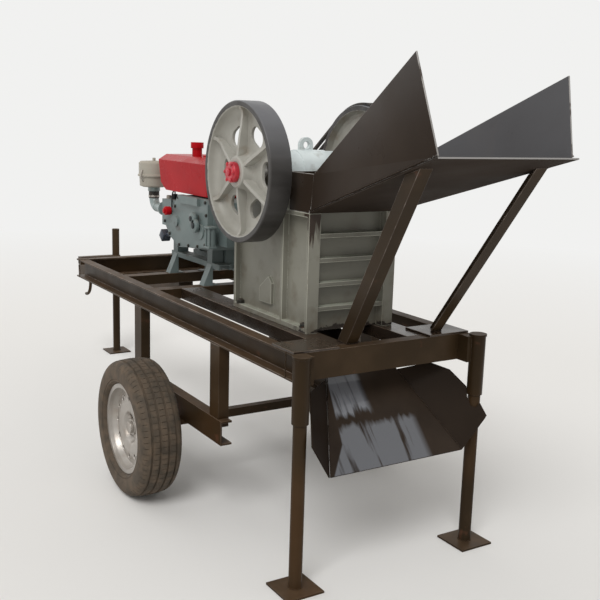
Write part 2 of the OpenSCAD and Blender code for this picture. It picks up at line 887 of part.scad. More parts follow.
module flywheels() {
    color("#b4b3ab")
    both_sides()
    translate([shaft_x, rim_y - flywheel_w, shaft_z])
    rotate([-90, 0, 0])
    flywheel();
}

module hub_caps() {
    color("#b32b3b")
    both_sides()
    translate([shaft_x, hub_end, shaft_z])
    rotate([-90, 0, 0])
    rotate_extrude()
    polygon([[0, 0], [cap_r, 0], [cap_r, cap_l - 8], [cap_r - 8, cap_l], [0, cap_l]]);
}

// Hopper

floor_rise = [crusher_front_x, crusher_top + seat_gap];
floor_angle = atan((lip_h - floor_rise[1]) / (lip_x - floor_rise[0]));
floor_top = sheet_t / cos(floor_angle) + 1.2;

module hopper_floor() {
    color("#2b2523") {
        plate_on([
            [floor_rise[0], -crusher_y, floor_rise[1]], [lip_x, -lip_y, lip_h],
            [lip_x, lip_y, lip_h], [floor_rise[0], crusher_y, floor_rise[1]]
        ], sheet_t);
        translate([front_wall_x + 2, -crusher_y + sheet_t + 1, floor_rise[1]])
        cube([crusher_front_x - front_wall_x - 2, 2 * (crusher_y - sheet_t - 1), sheet_t]);
    }
}

// Plane of a wing's outer face: throat foot, lip foot, tip
function wing_plane(foot_y, rise) = [
    [crusher_front_x + 3, crusher_y, floor_rise[1] + floor_top],
    [lip_x, foot_y, lip_h + floor_top],
    [lip_x - wing_tip_back, lip_y + wing_spread, lip_h + rise]
];

module wing(p, back) {
    plate_on([p[1], p[2], on_plane(p, crusher_front_x + 45, crusher_top + back), p[0]], sheet_t);
}

module hopper_wings() {
    color("#2b2523") {
        mirror([0, 1, 0])
        wing(wing_plane(lip_y, near_wing_rise), throat_h);
        wing(wing_plane(lip_y - far_wing_inset, far_wing_rise), far_wing_back);
    }
}

module throat() {
    back = crusher_front_x - throat_back;
    foot = crusher_top + seat_gap;
    color("#2b2523")
    both_sides() {
        translate([back, crusher_y - sheet_t, foot])
        cube([throat_back - 2, sheet_t, throat_h]);
        translate([crusher_front_x - 2.5, crusher_y - sheet_t, foot + 12])
        wall_y([[0, 0], [6, 0], [40, throat_h - 12], [0, throat_h - 12]], sheet_t, sheet_t);
    }
    color("#2b2523")
    translate([back, -crusher_y + sheet_t - 1, crusher_top + seat_gap + 60])
    cube([sheet_t, 2 * (crusher_y - sheet_t + 1), throat_h - 60]);
}

// Angle section along +Z: heel at the origin, legs towards +Y and -X
module angle(length) {
    linear_extrude(length)
    polygon([
        [0, 0], [0, strut_leg], [-strut_t, strut_leg], [-strut_t, strut_t],
        [-strut_leg, strut_t], [-strut_leg, 0]
    ]);
}

module strut(foot_y, top_y, foot_t) {
    a = [front_x - 41, foot_y, deck_h + foot_t + seat_gap];
    b = [lip_x - strut_back, top_y, lip_h - strut_back * tan(floor_angle) - seat_gap];
    d = (b - a) / norm(b - a);
    flat = sqrt(d[0] * d[0] + d[2] * d[2]);
    u = [d[2] / flat, 0, -d[0] / flat];
    v = cross(d, u);
    difference() {
        multmatrix([
            [u[0], v[0], d[0], a[0]],
            [u[1], v[1], d[1], a[1]],
            [u[2], v[2], d[2], a[2]],
            [0, 0, 0, 1]
        ])
        translate([0, 0, -60])
        angle(norm(b - a) + 120);
        translate([a[0] - 300, foot_y - 200, a[2] - 200])
        cube([600, 400, 200]);
        translate([lip_x, 0, lip_h - seat_gap / cos(floor_angle)])
        rotate([0, -floor_angle, 0])
        translate([-500, -500, 0])
        cube([700, 1000, 200]);
    }
}

module hopper_struts() {
    color("#3b2f2a") {
        strut(-near_strut_side, -lip_y + 32, 0);
        mirror([0, 1, 0])
        strut(-far_strut_side, -lip_y + 13, corner_plate_t);
    }
}

// Chute

chute_top_z = bearer_z - sheet_t - seat_gap;

// Point of a sheet's upper face over a bend between two slopes
function bend(p, a, b, t) =
    let (n = [sin(a) + sin(b), cos(a) + cos(b)])
    p + n * t / (1 + cos(a - b));

module chute_floor() {
    low = [chute_lip_x, chute_lip_h];
    neck = [chute_neck_x, chute_neck_z];
    high = [front_x - chute_back, chute_top_z];
    a = atan2(neck[1] - low[1], low[0] - neck[0]);
    b = atan2(high[1] - neck[1], neck[0] - high[0]);
    flare = (chute_lip_w - chute_neck_w) / 2 / (low[0] - neck[0]);
    color("#2b2523")
    intersection() {
        wall_y([
            low, bend(low, a, a, sheet_t), bend(neck, a, b, sheet_t),
            bend(high, b, b, sheet_t), high, neck
        ], chute_lip_w, 2 * chute_lip_w);
        translate([0, 0, low[1] - 50])
        linear_extrude(rail_h + rail_z)
        polygon([for (side = [[1, 0], [1, 1], [1, 2], [-1, 2], [-1, 1], [-1, 0]])
            side[1] == 0 ? [low[0] + 10, side[0] * (chute_lip_w / 2 + 10 * flare)]
            : [side[1] == 1 ? neck[0] : high[0] - 10, side[0] * chute_neck_w / 2]]);
    }
}

// Plane of a chute side: lip foot, outer corner, neck
function chute_plane(spread, rise) = [
    [chute_lip_x, chute_lip_w / 2 + 0.5, chute_lip_h],
    [chute_lip_x + 8, chute_lip_w / 2 + spread, chute_lip_h + rise],
    [chute_neck_x, chute_neck_w / 2 + 0.5, chute_neck_z]
];

module chute_side(p, top) {
    plate_on([p[2], on_plane(p, chute_lip_x - 125, top), p[1], p[0]], sheet_t);
}

module chute_sides() {
    color("#2b2523") {
        mirror([0, 1, 0])
        chute_side(chute_plane(82, 130), rail_z - 48);
        chute_side(chute_plane(106, 116), rail_z - 115);
    }
}

// Engine

// Points given from the crankshaft in parts of the crankcase's length
function cast(points) = [for (p = points) [crank_x, crank_z] + p * case_back];

module engine_block() {
    pad = cross_w / 2;
    color("#60706f") {
        wall_y(cast([
            [-1, -0.101], [-0.861, -0.139], [-0.706, -0.213], [-0.418, -0.311],
            [0.349, -0.253], [0.38, -0.203], [0.38, 0.294], [0.329, 0.329],
            [-0.38, 0.329], [-0.481, 0.233], [-1, 0.233]
        ]), case_far, case_far + case_near);
        wall_y(cast([
            [-0.418, -0.304], [-0.38, -0.481], [-0.278, -0.562], [-0.076, -0.562],
            [0.025, -0.481], [0.056, -0.278]
        ]), 42, 54);
        translate([head_x, -case_near + 22, crank_z - 48])
        cube([head_l + 1, case_near + 38, 132]);
        translate([head_x - seat_w, -case_near + 36, crank_z - 30])
        cube([seat_w + 1, case_near + 10, 100]);
        translate([crank_x + case_back * 0.377, -case_near + 20, crank_z - 74])
        cube([cross_w * 1.5, case_near, 80]);
        for (x = cross_mid, y = stand_y)
            translate([x - 26, y - pad, foot_z + seat_gap])
            cube([52, cross_w, crank_z - 44 - foot_z]);
        disc_y(crank_x, crank_z, 26, case_far - 1, 10);
    }
}

module gear_cover() {
    face = -case_near - seat_gap;
    front = face - cover_t;
    color("#6b7f80") {
        wall_y(cast([
            [-0.886, -0.03], [-0.706, -0.203], [-0.423, -0.306], [0.332, -0.22],
            [0.357, -0.177], [0.357, 0.278], [0.319, 0.329], [-0.466, 0.329],
            [-0.567, 0.203]
        ]), face, cover_t);
        disc_y(crank_x + case_back * -0.03, crank_z + case_back * 0.07, 30, front - 10, 11);
        disc_y(crank_x + case_back * -0.03, crank_z + case_back * 0.07, 17, front - 16, 17);
        disc_y(crank_x + case_back * -0.5, crank_z, 24, front - 8, 9);
        disc_y(crank_x + case_back * 0.18, crank_z - 20, 34, front - 6, 7);
        wall_y(cast([
            [-0.405, 0.334], [0.152, 0.334], [0.152, 0.243], [-0.329, 0.243]
        ]), front + 1, 16);
    }
}

module fuel_tank() {
    skew = 36;
    low = tank_z;
    top = tank_z + tank_h;
    color("#a11f2b") {
        difference() {
            translate([0, tank_w - 150, 0])
            wall_y([
                [tank_x, top], [tank_x + skew, low + 34], [tank_x + skew + 62, low],
                [tank_x + tank_len, low], [tank_x + tank_len, top]
            ], 0, tank_w);
            translate([tank_x - 20, -150, top - 26])
            rotate([30, 0, 0])
            translate([0, -80, 0])
            cube([tank_len + 40, 160, 80]);
        }
        translate([crank_x - 206, -60, top - 1]) {
            cylinder(r = neck_r, h = 42);
            translate([0, 0, 40])
            cylinder(r = neck_r + 7, h = 28);
        }
        translate([crank_x - 120, -20, top - 1])
        cylinder(r = 46, h = 10);
        translate([tank_x + 160, -110, case_top + seat_gap])
        cube([tank_len - 180, 190, low - case_top]);
    }
}

module air_cleaner() {
    seam = cleaner_z + cleaner_h * 0.45;
    color("#8d8b80")
    translate([intake_x, intake_y, 0])
    rotate_extrude()
    polygon([
        [0, cleaner_z], [cleaner_r - 24, cleaner_z], [cleaner_r - 10, cleaner_z + 6],
        [cleaner_r - 8, seam - 4], [cleaner_r, seam - 4], [cleaner_r, seam + 4], [cleaner_r - 5, seam + 8],
        [cleaner_r - 5, cleaner_z + cleaner_h - 8], [cleaner_r - 14, cleaner_z + cleaner_h],
        [8, cleaner_z + cleaner_h + 4], [8, cleaner_z + cleaner_h + 18], [0, cleaner_z + cleaner_h + 18]
    ]);
}

module intake_elbow() {
    rise = cleaner_z - seat_gap - intake_z - intake_bend;
    color("#7e8f90")
    translate([intake_x, intake_y, intake_z + intake_bend]) {
        translate([0, 0, -3])
        cylinder(r = intake_r, h = rise + 3);
        translate([0, 0, rise - 22])
        cylinder(r = intake_r + 8, h = 22);
        translate([intake_bend, 0, 0])
        rotate([-90, 0, 180])
        rotate_extrude(angle = 90, $fn = 48)
        translate([intake_bend, 0])
        circle(r = intake_r + 1.5, $fn = 32);
        translate([intake_bend - 3, 0, -intake_bend])
        rotate([0, 90, 0])
        cylinder(r = intake_r, h = head_x - seat_w + 3 - seat_gap - intake_x - intake_bend);
        translate([head_x - seat_w - 10 - seat_gap - intake_x, 0, -intake_bend])
        rotate([0, 90, 0])
        cylinder(r = intake_r + 12, h = 10);
    }
}

// Folded plate foot under one corner of the engine, splayed outwards
module stand_foot(x, top_y, low_y) {
    half = cross_w / 2;
    translate([x + 0.4 * cross_w, 0, 0])
    rotate([0, -90, 0])
    linear_extrude(0.8 * cross_w)
    polygon([
        [deck_h + seat_gap, low_y - 1.3 * half], [deck_h + seat_gap, low_y + 1.3 * half],
        [foot_z - 8, top_y + half], [foot_z, top_y + half], [foot_z, top_y - half], [foot_z - 8, top_y - half]
    ]);
}

module engine_stand() {
    rail = cross_mid[1] - cross_mid[0] + 2.5 * cross_w;
    color("#5f7072")
    for (i = [0, 1]) {
        difference() {
            union() {
                for (x = cross_mid)
                    stand_foot(x, stand_y[i], stand_y[i] + (i == 0 ? -34 : 24));
                translate([cross_mid[0] - 0.8 * cross_w, stand_y[i] - cross_w / 2, foot_z - 26])
                cube([rail, cross_w, 26]);
            }
            translate([cross_mid[0] - cross_w, stand_y[i] - 0.4 * cross_w, foot_z - 106])
            cube([rail + cross_w, 0.8 * cross_w, 100]);
        }
    }
}

module engine_pulley() {
    pulley_y = rim_y - flywheel_w;
    hub_y = case_far + 9 + seat_gap;
    color("#3c3f40") {
        disc_y(crank_x, crank_z, 34, hub_y, rim_y - hub_y);
        translate([crank_x, wheel_y, crank_z])
        rotate([-90, 0, 0])
        rotate_extrude()
        polygon([
            [30, 14], [engine_wheel_r - 26, 14], [engine_wheel_r - 22, 0], [engine_wheel_r, 0],
            [engine_wheel_r, engine_wheel_w], [engine_wheel_r - 22, engine_wheel_w],
            [engine_wheel_r - 26, 36], [60, 36], [54, 56], [30, 56]
        ]);
        translate([crank_x, pulley_y, crank_z])
        rotate([-90, 0, 0])
        rotate_extrude()
        polygon([
            [30, 0], [pulley_r, 0], [pulley_r, flywheel_w], [pulley_r - 14, flywheel_w],
            [pulley_r - 14, 60], [30, 60]
        ]);
    }
}

// Closed loop round two circles, the first at the origin: arcs joined by their common tangents
function loop(r_a, r_b, to_b) =
    let (
        lean = atan2(to_b[1], to_b[0]),
        spread = acos((r_a - r_b) / norm(to_b))
    )
    concat(
        arc([0, 0], r_a, lean + spread, lean - spread + 360, 36),
        arc(to_b, r_b, lean - spread, lean + spread, 72)
    );

module drive_belt() {
    to_shaft = [shaft_x - crank_x, shaft_z - crank_z];
    slack = belt_gap / cos(180 / 96);
    color("#262422")
    for (i = [0, 1])
        translate([crank_x, rim_y - 22 - i * 34, crank_z])
        rotate([90, 0, 0])
        linear_extrude(belt_w)
        difference() {
            polygon(loop(pulley_r + slack + belt_t, flywheel_r + slack + belt_t, to_shaft));
            polygon(loop(pulley_r + slack + 0.2, flywheel_r + slack + 0.2, to_shaft));
        }
}

side_rails();
end_rails();
crusher_bearers();
engine_cross_members();
corner_plates();
axle_posts();
axle_beams();
axle();
front_leg_sleeves();
front_legs();
drawbar();
tow_hook();
prop_leg_arm();
prop_leg();
near_tyre();
near_rim();
far_tyre();
far_rim();
side_frames();
front_wall();
rear_wall();
fixed_jaw();
swing_jaw();
swing_jaw_plate();
cheek_plates();
bearing_housings();
toggle_plate();
tension_rod();
eccentric_shaft();
flywheels();
hub_caps();
hopper_floor();
hopper_wings();
throat();
hopper_struts();
chute_floor();
chute_sides();
engine_block();
gear_cover();
fuel_tank();
air_cleaner();
intake_elbow();
engine_stand();
engine_pulley();
drive_belt();
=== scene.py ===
import json
import math
import random

import bmesh
import bpy
from mathutils import Euler, Matrix, Vector


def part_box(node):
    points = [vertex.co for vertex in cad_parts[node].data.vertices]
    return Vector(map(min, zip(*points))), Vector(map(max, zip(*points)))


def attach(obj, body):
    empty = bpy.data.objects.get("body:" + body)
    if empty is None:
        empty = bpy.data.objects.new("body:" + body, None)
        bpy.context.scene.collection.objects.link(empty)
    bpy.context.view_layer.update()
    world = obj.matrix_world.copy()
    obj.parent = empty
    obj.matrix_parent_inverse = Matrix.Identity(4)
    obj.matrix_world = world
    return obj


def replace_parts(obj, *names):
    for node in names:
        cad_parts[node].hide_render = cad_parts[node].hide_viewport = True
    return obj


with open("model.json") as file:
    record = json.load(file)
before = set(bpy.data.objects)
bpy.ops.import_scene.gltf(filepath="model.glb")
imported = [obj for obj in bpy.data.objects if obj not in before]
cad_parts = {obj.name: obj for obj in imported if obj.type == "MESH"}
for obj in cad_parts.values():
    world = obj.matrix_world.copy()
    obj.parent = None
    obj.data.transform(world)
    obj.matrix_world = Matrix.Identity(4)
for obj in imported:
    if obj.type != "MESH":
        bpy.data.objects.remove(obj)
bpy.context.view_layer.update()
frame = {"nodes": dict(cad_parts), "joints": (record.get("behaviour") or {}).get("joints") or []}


# Camera: a hand-held wide view of the near side and the discharge end, a little above the hopper's lip. Its
# place was solved from the straight edges of the chassis, so the machine lies where the photograph has it.
eye = (3.96314, -1.95528, 1.61676)
turn, rise, lean = 1.01206, 0.19489, 0.03016
back = Vector((math.sin(turn) * math.cos(rise), -math.cos(turn) * math.cos(rise), math.sin(rise)))
right = Vector((math.cos(turn), math.sin(turn), 0.0))
up = back.cross(right)
level = right * math.cos(lean) + up * math.sin(lean)
upright = up * math.cos(lean) - right * math.sin(lean)
camera_data = bpy.data.cameras.new("photo_view")
camera_data.sensor_width = 36.0
camera_data.lens = 54.02
camera = bpy.data.objects.new("photo_view", camera_data)
camera.matrix_world = Matrix.Translation(eye) @ Matrix((level, upright, back)).transposed().to_4x4()
bpy.context.scene.collection.objects.link(camera)
bpy.context.scene.camera = camera


# Studio: a pale floor under soft daylight. The floor fades into the white of the backdrop with distance,
# and gloss on the machine shows the same white.
def start_finish(name):
    """A new material, its node tree and its shader."""
    finish = bpy.data.materials.new(name)
    finish.use_nodes = True
    return finish, finish.node_tree, finish.node_tree.nodes["Principled BSDF"]


def link(tree, source, target):
    tree.links.new(source, target)


def maths(tree, operation, first, second):
    """One step of arithmetic on two values, each a number or another node's output."""
    step = tree.nodes.new("ShaderNodeMath")
    step.operation = operation
    for socket, value in zip(step.inputs, (first, second)):
        if isinstance(value, (int, float)):
            socket.default_value = value
        else:
            link(tree, value, socket)
    return step.outputs["Value"]


bpy.context.scene.view_settings.view_transform = "Standard"
backdrop_white, daylight = (0.88, 0.88, 0.87, 1.0), (0.59, 0.58, 0.565, 1.0)
floor_radius, fade_from, fade_to = 40.0, 3.0, 9.0
floor_mesh = bmesh.new()
bmesh.ops.create_circle(floor_mesh, cap_ends=True, segments=64, radius=floor_radius)
floor_data = bpy.data.meshes.new("floor")
floor_mesh.to_mesh(floor_data)
floor_mesh.free()
floor = bpy.data.objects.new("floor", floor_data)
bpy.context.scene.collection.objects.link(floor)

floor_finish, tree, shader = start_finish("pale_floor")
shader.inputs["Base Color"].default_value = (0.80, 0.79, 0.77, 1.0)
shader.inputs["Roughness"].default_value = 0.9
where = tree.nodes.new("ShaderNodeTexCoord")
distance = tree.nodes.new("ShaderNodeVectorMath")
distance.operation = "LENGTH"
fade = tree.nodes.new("ShaderNodeMapRange")
fade.inputs["From Min"].default_value = fade_from
fade.inputs["From Max"].default_value = fade_to
glow = tree.nodes.new("ShaderNodeEmission")
glow.inputs["Color"].default_value = backdrop_white
blend = tree.nodes.new("ShaderNodeMixShader")
link(tree, where.outputs["Object"], distance.inputs[0])
link(tree, distance.outputs["Value"], fade.inputs["Value"])
link(tree, fade.outputs["Result"], blend.inputs["Fac"])
link(tree, shader.outputs["BSDF"], blend.inputs[1])
link(tree, glow.outputs["Emission"], blend.inputs[2])
link(tree, blend.outputs["Shader"], tree.nodes["Material Output"].inputs["Surface"])
floor_data.materials.append(floor_finish)

sky = bpy.data.worlds.new("sky")
bpy.context.scene.world = sky
sky.use_nodes = True
tree = sky.node_tree
tree.nodes["Background"].inputs["Color"].default_value = daylight
seen = tree.nodes.new("ShaderNodeBackground")
seen.inputs["Color"].default_value = backdrop_white
ray = tree.nodes.new("ShaderNodeLightPath").outputs
shown = maths(tree, "MAXIMUM", ray["Is Camera Ray"], ray["Is Glossy Ray"])
blend = tree.nodes.new("ShaderNodeMixShader")
link(tree, maths(tree, "MAXIMUM", shown, ray["Is Transmission Ray"]), blend.inputs["Fac"])
link(tree, tree.nodes["Background"].outputs["Background"], blend.inputs[1])
link(tree, seen.outputs["Background"], blend.inputs[2])
link(tree, blend.outputs["Shader"], tree.nodes["World Output"].inputs["Surface"])

for lamp, strength, spread, aim in (
    ("high_sun", 1.5, 28, (38, 18, 20)),
    ("side_fill", 0.35, 60, (62, 0, -75)),
):
    light = bpy.data.lights.new(lamp, "SUN")
    light.energy = strength
    light.angle = math.radians(spread)
    sun = bpy.data.objects.new(lamp, light)
    sun.rotation_euler = Euler([math.radians(angle) for angle in aim])
    bpy.context.scene.collection.objects.link(sun)


# Chassis: rolled channels mitred and welded into a flat frame, brushed all over with one coat of
# black-brown gloss. Dust lies on its upper faces, and the brown primer shows where the coat is thin.
def speckle(tree, scale, detail, stretch=(1.0, 1.0, 1.0)):
    """Noise on the piece's own coordinates, scale in spots a metre."""
    where = tree.nodes.new("ShaderNodeTexCoord")
    stretched = tree.nodes.new("ShaderNodeMapping")
    stretched.inputs["Scale"].default_value = stretch
    noise = tree.nodes.new("ShaderNodeTexNoise")
    noise.inputs["Scale"].default_value = scale
    noise.inputs["Detail"].default_value = detail
    link(tree, where.outputs["Object"], stretched.inputs["Vector"])
    link(tree, stretched.outputs["Vector"], noise.inputs["Vector"])
    return noise.outputs["Fac"]


def between(tree, value, low, high, least=0.0, most=1.0):
    """value stretched from low..high to least..most, and kept inside it."""
    span = tree.nodes.new("ShaderNodeMapRange")
    span.inputs["From Min"].default_value = low
    span.inputs["From Max"].default_value = high
    span.inputs["To Min"].default_value = least
    span.inputs["To Max"].default_value = most
    link(tree, value, span.inputs["Value"])
    return span.outputs["Result"]


def spots(tree, scale, detail, low, high, least=0.0, most=1.0, stretch=(1.0, 1.0, 1.0)):
    """Speckle as a mask: least where the noise is under low, most where it is over high."""
    return between(tree, speckle(tree, scale, detail, stretch), low, high, least, most)


def times(tree, mask, *others):
    """Masks multiplied, so that each one limits the rest."""
    for other in others:
        mask = maths(tree, "MULTIPLY", mask, other)
    return mask


def over(tree, amount, under, top):
    """Colour top laid over colour under by amount."""
    layer = tree.nodes.new("ShaderNodeMix")
    layer.data_type = "RGBA"
    link(tree, amount, layer.inputs["Factor"])
    for socket, colour in ((layer.inputs["A"], under), (layer.inputs["B"], top)):
        if isinstance(colour, tuple):
            socket.default_value = (*colour, 1.0)
        else:
            link(tree, colour, socket)
    return layer.outputs["Result"]


def mottle(tree, scale, detail, low, high, under, top, most=1.0, stretch=(1.0, 1.0, 1.0)):
    """Colour top in spots over colour under, by most at the strongest."""
    return over(tree, spots(tree, scale, detail, low, high, 0.0, most, stretch), under, top)


def relief(tree, shader, scale, detail, depth, strength):
    """Small noise relief on top of any that the shader already has, depth in metres."""
    bump = tree.nodes.new("ShaderNodeBump")
    bump.inputs["Strength"].default_value = strength
    bump.inputs["Distance"].default_value = depth
    link(tree, speckle(tree, scale, detail), bump.inputs["Height"])
    if shader.inputs["Normal"].is_linked:
        link(tree, shader.inputs["Normal"].links[0].from_socket, bump.inputs["Normal"])
    link(tree, bump.outputs["Normal"], shader.inputs["Normal"])


def looking(tree, axis, low, high):
    """How far a face looks along an axis, 0 at low to 1 at high."""
    face = tree.nodes.new("ShaderNodeNewGeometry")
    parts = tree.nodes.new("ShaderNodeSeparateXYZ")
    link(tree, face.outputs["Normal"], parts.inputs["Vector"])
    return between(tree, parts.outputs[axis], low, high)


road_dust = (0.36, 0.235, 0.15)


def brushed_coat(name, colour, primer, gloss, dust=0.35, wear=0.62, wave=0.0004, shine=0.3, glow=None):
    """Brushed or sprayed paint on steel: uneven colour, thin spots that show the primer, and settled dust."""
    finish, tree, shader = start_finish(name)
    dark = tuple(0.8 * part for part in colour)
    light = tuple(min(1.0, 1.25 * part) for part in colour)
    paint = mottle(tree, 3.0, 3.0, 0.3, 0.7, dark, light)
    if glow:
        paint = mottle(tree, 1.7, 2.0, 0.48, 0.66, paint, glow, 0.8)
    paint = mottle(tree, 14.0, 8.0, wear, wear + 0.08, paint, primer)
    grit = spots(tree, 16.0, 7.0, 0.25, 0.80, 0.25, 1.0)
    settled = times(tree, looking(tree, "Z", 0.35, 0.95), grit, dust)
    film = spots(tree, 6.0, 5.0, 0.5, 0.85, 0.0, 0.25 * dust)
    settled = maths(tree, "MAXIMUM", settled, film)
    link(tree, over(tree, settled, paint, road_dust), shader.inputs["Base Color"])
    dull = spots(tree, 9.0, 4.0, 0.3, 0.7, gloss, gloss + 0.14)
    link(tree, maths(tree, "ADD", dull, settled), shader.inputs["Roughness"])
    shader.inputs["Specular IOR Level"].default_value = shine
    relief(tree, shader, 5.0, 2.0, wave * 6.0, 0.35)
    relief(tree, shader, 160.0, 3.0, wave, 0.4)
    return finish


def dress(node, finish, edge, segments=2, edge_wear_and_highlight=None):
    """A CAD node in its finish, its sharp edges rounded as on rolled, cast or cut steel; a second finish,
    where given, paints the rounded edges lighter, partly as wear and partly as a painted highlight.
    """
    piece = frame["nodes"][node]
    piece.data.materials.clear()
    piece.data.materials.append(finish)
    weld = piece.modifiers.new("weld", "WELD")
    weld.merge_threshold = 0.00002
    rounding = piece.modifiers.new("edges", "BEVEL")
    rounding.width = edge
    rounding.segments = segments
    rounding.limit_method = "ANGLE"
    rounding.angle_limit = math.radians(40)
    rounding.harden_normals = True
    if edge_wear_and_highlight:
        piece.data.materials.append(edge_wear_and_highlight)
        rounding.material = 1


brown_primer = (0.075, 0.034, 0.018)
frame_paint = brushed_coat(
    "frame_paint", (0.031, 0.0190, 0.0090), brown_primer, 0.28,
    dust=0.20, wear=0.65, shine=0.09, glow=(0.052, 0.027, 0.011),
)
# frame_edge: lighter brown on the frame's rounded edges, partly worn paint and partly a painted highlight
# along the flange edges.
frame_edge = brushed_coat(
    "frame_edge", (0.070, 0.052, 0.040), (0.16, 0.13, 0.11), 0.40, dust=0.4, wear=0.52, shine=0.3
)
deck_paint = brushed_coat(
    "deck_paint", (0.026, 0.0175, 0.012), brown_primer, 0.16, dust=0.10, wear=0.66, shine=0.4
)
for node in (
    "side_rails", "end_rails", "engine_cross_members", "axle_posts", "axle_beams", "axle",
    "front_leg_sleeves", "front_legs", "drawbar", "tow_hook", "prop_leg_arm", "prop_leg", "hopper_struts",
):
    dress(node, frame_paint, 0.0016, 2, frame_edge)
for node in ("corner_plates", "crusher_bearers"):
    dress(node, deck_paint, 0.0016, 2, frame_edge)


# Welds of the chassis: the frame is stick-welded, with rough beads along its joints and round its feet.
# Each bead is a row of ripples, brushed over with the frame.
def start_piece(name, bm, finish, body, sharp=40):
    """A mesh object from bm in its finish, riding on its body; edges over sharp degrees stay crisp."""
    bmesh.ops.recalc_face_normals(bm, faces=bm.faces[:])
    data = bpy.data.meshes.new(name)
    bm.to_mesh(data)
    bm.free()
    data.materials.append(finish)
    data.polygons.foreach_set("use_smooth", [True] * len(data.polygons))
    data.set_sharp_from_angle(angle=math.radians(sharp))
    piece = bpy.data.objects.new(name, data)
    bpy.context.scene.collection.objects.link(piece)
    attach(piece, body)
    return piece


def add_bead(bm, start, end, size, seed):
    """A weld bead: a row of overlapping ripples laid along a joint, a little uneven."""
    rng = random.Random(seed)
    start, end = Vector(start), Vector(end)
    run = end - start
    ripples = max(2, int(run.length / (size * 0.9)))
    along = run.to_track_quat("X", "Z").to_matrix().to_4x4()
    for i in range(ripples + 1):
        at = start + run * i / ripples + Vector([rng.uniform(-0.12, 0.12) * size for _ in range(3)])
        bmesh.ops.create_icosphere(
            bm, subdivisions=1, radius=size * rng.uniform(0.42, 0.58),
            matrix=Matrix.Translation(at) @ along @ Matrix.Diagonal((1.3, 0.9, 0.9, 1.0)),
        )


rails_low, rails_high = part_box("side_rails")
deck, rail_low, half_w = rails_high.z, rails_low.z, rails_high.y
ends_low, ends_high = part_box("end_rails")
plates_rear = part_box("corner_plates")[0].x
posts_low, posts_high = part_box("axle_posts")
beam_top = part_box("axle_beams")[1].z
channel, post, thin_bead, thick_bead = 0.050, 0.080, 0.006, 0.007

beads = bmesh.new()
for side in (-1, 1):
    outer = side * half_w
    for x in (ends_low.x + channel, ends_high.x - channel):
        add_bead(beads, (x, outer - side * 0.048, deck), (x, outer - side * 0.002, deck), thin_bead, 11)
        add_bead(beads, (x, outer, rail_low + 0.004), (x, outer, deck - 0.004), thin_bead, 12)
    plate_in, plate_out = outer - side * 0.185, outer - side * 0.005
    add_bead(beads, (plates_rear, plate_in, deck), (plates_rear, plate_out, deck), thick_bead, 13)
    post_in, post_out = outer - side * 0.044, outer - side * 0.004
    for x in (posts_low.x, posts_low.x + post, posts_high.x - post, posts_high.x):
        add_bead(beads, (x, post_in, rail_low), (x, post_out, rail_low), thick_bead, 14)
    for x in (posts_low.x, posts_high.x - post):
        y = outer - side * 0.047
        add_bead(beads, (x + 0.004, y, beam_top), (x + post - 0.004, y, beam_top), thick_bead, 15)
start_piece("frame_welds", beads, frame_paint, "chassis", 60)

legs_low, legs_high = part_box("front_legs")
prop_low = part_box("prop_leg")[0]
foot_half = (legs_high.x - legs_low.x) / 2
leg_x, leg_y, leg_r = legs_low.x + foot_half, legs_high.y - foot_half, 0.02415
front_feet = [(leg_x, -leg_y), (leg_x, leg_y)]
prop_feet = [(prop_low.x + foot_half, prop_low.y + foot_half)]
foot_top, arcs = 0.009, 14
for name, feet, body in (("leg_welds", front_feet, "chassis"), ("prop_leg_weld", prop_feet, "prop")):
    beads = bmesh.new()
    for x, y in feet:
        angles = [math.tau * i / arcs for i in range(arcs + 1)]
        points = [(x + leg_r * math.cos(a), y + leg_r * math.sin(a), foot_top) for a in angles]
        for i in range(arcs):
            add_bead(beads, points[i], points[i + 1], thin_bead, 30 + i)
    start_piece(name, beads, frame_paint, body, 60)


# Tyres: light-trailer tyres with four straight grooves, and narrow sipes cut across their ribs and
# shoulders. The rubber is old, dull and brown with dust.
rubber, tree, shader = start_finish("dusty_rubber")
old = mottle(tree, 5.0, 4.0, 0.35, 0.65, (0.034, 0.030, 0.023), (0.054, 0.047, 0.037))
film = spots(tree, 24.0, 7.0, 0.38, 0.76, 0.14, 0.52)
link(tree, over(tree, film, old, (0.21, 0.145, 0.095)), shader.inputs["Base Color"])
shader.inputs["Roughness"].default_value = 0.78
shader.inputs["Specular IOR Level"].default_value = 0.3
relief(tree, shader, 240.0, 4.0, 0.0004, 0.5)

pivots = {joint["name"]: Vector(joint["pos_m"]) for joint in frame["joints"] if "pos_m" in joint}
axle_x, wheel_y, axle_z = pivots["far_wheel_spin"]
axle_mid = Vector((axle_x, 0.0, axle_z))
half_section = [
    (-0.0620, 0.1815), (-0.0645, 0.1965), (-0.0780, 0.2010), (-0.0850, 0.2080), (-0.0835, 0.2150),
    (-0.0868, 0.2165), (-0.0885, 0.2250), (-0.0898, 0.2400), (-0.0890, 0.2560), (-0.0862, 0.2690),
    (-0.0830, 0.2760), (-0.0790, 0.2820), (-0.0735, 0.2870), (-0.0670, 0.2905), (-0.0585, 0.2932),
    (-0.0560, 0.2862), (-0.0500, 0.2868), (-0.0475, 0.2950), (-0.0240, 0.2968), (-0.0215, 0.2896),
    (-0.0155, 0.2898), (-0.0130, 0.2976), (0.0, 0.2980),
]
section = half_section + [(-y, r) for y, r in half_section[-2::-1]]
siped = [(section[a][0], section[b][0]) for a, b in ((9, 13), (17, 18), (21, 23), (26, 27), (31, 35))]
sipe_depth, tread_from = 0.0022, 0.268
lug, sipe, blocks = math.radians(2.3), math.radians(0.4), 72
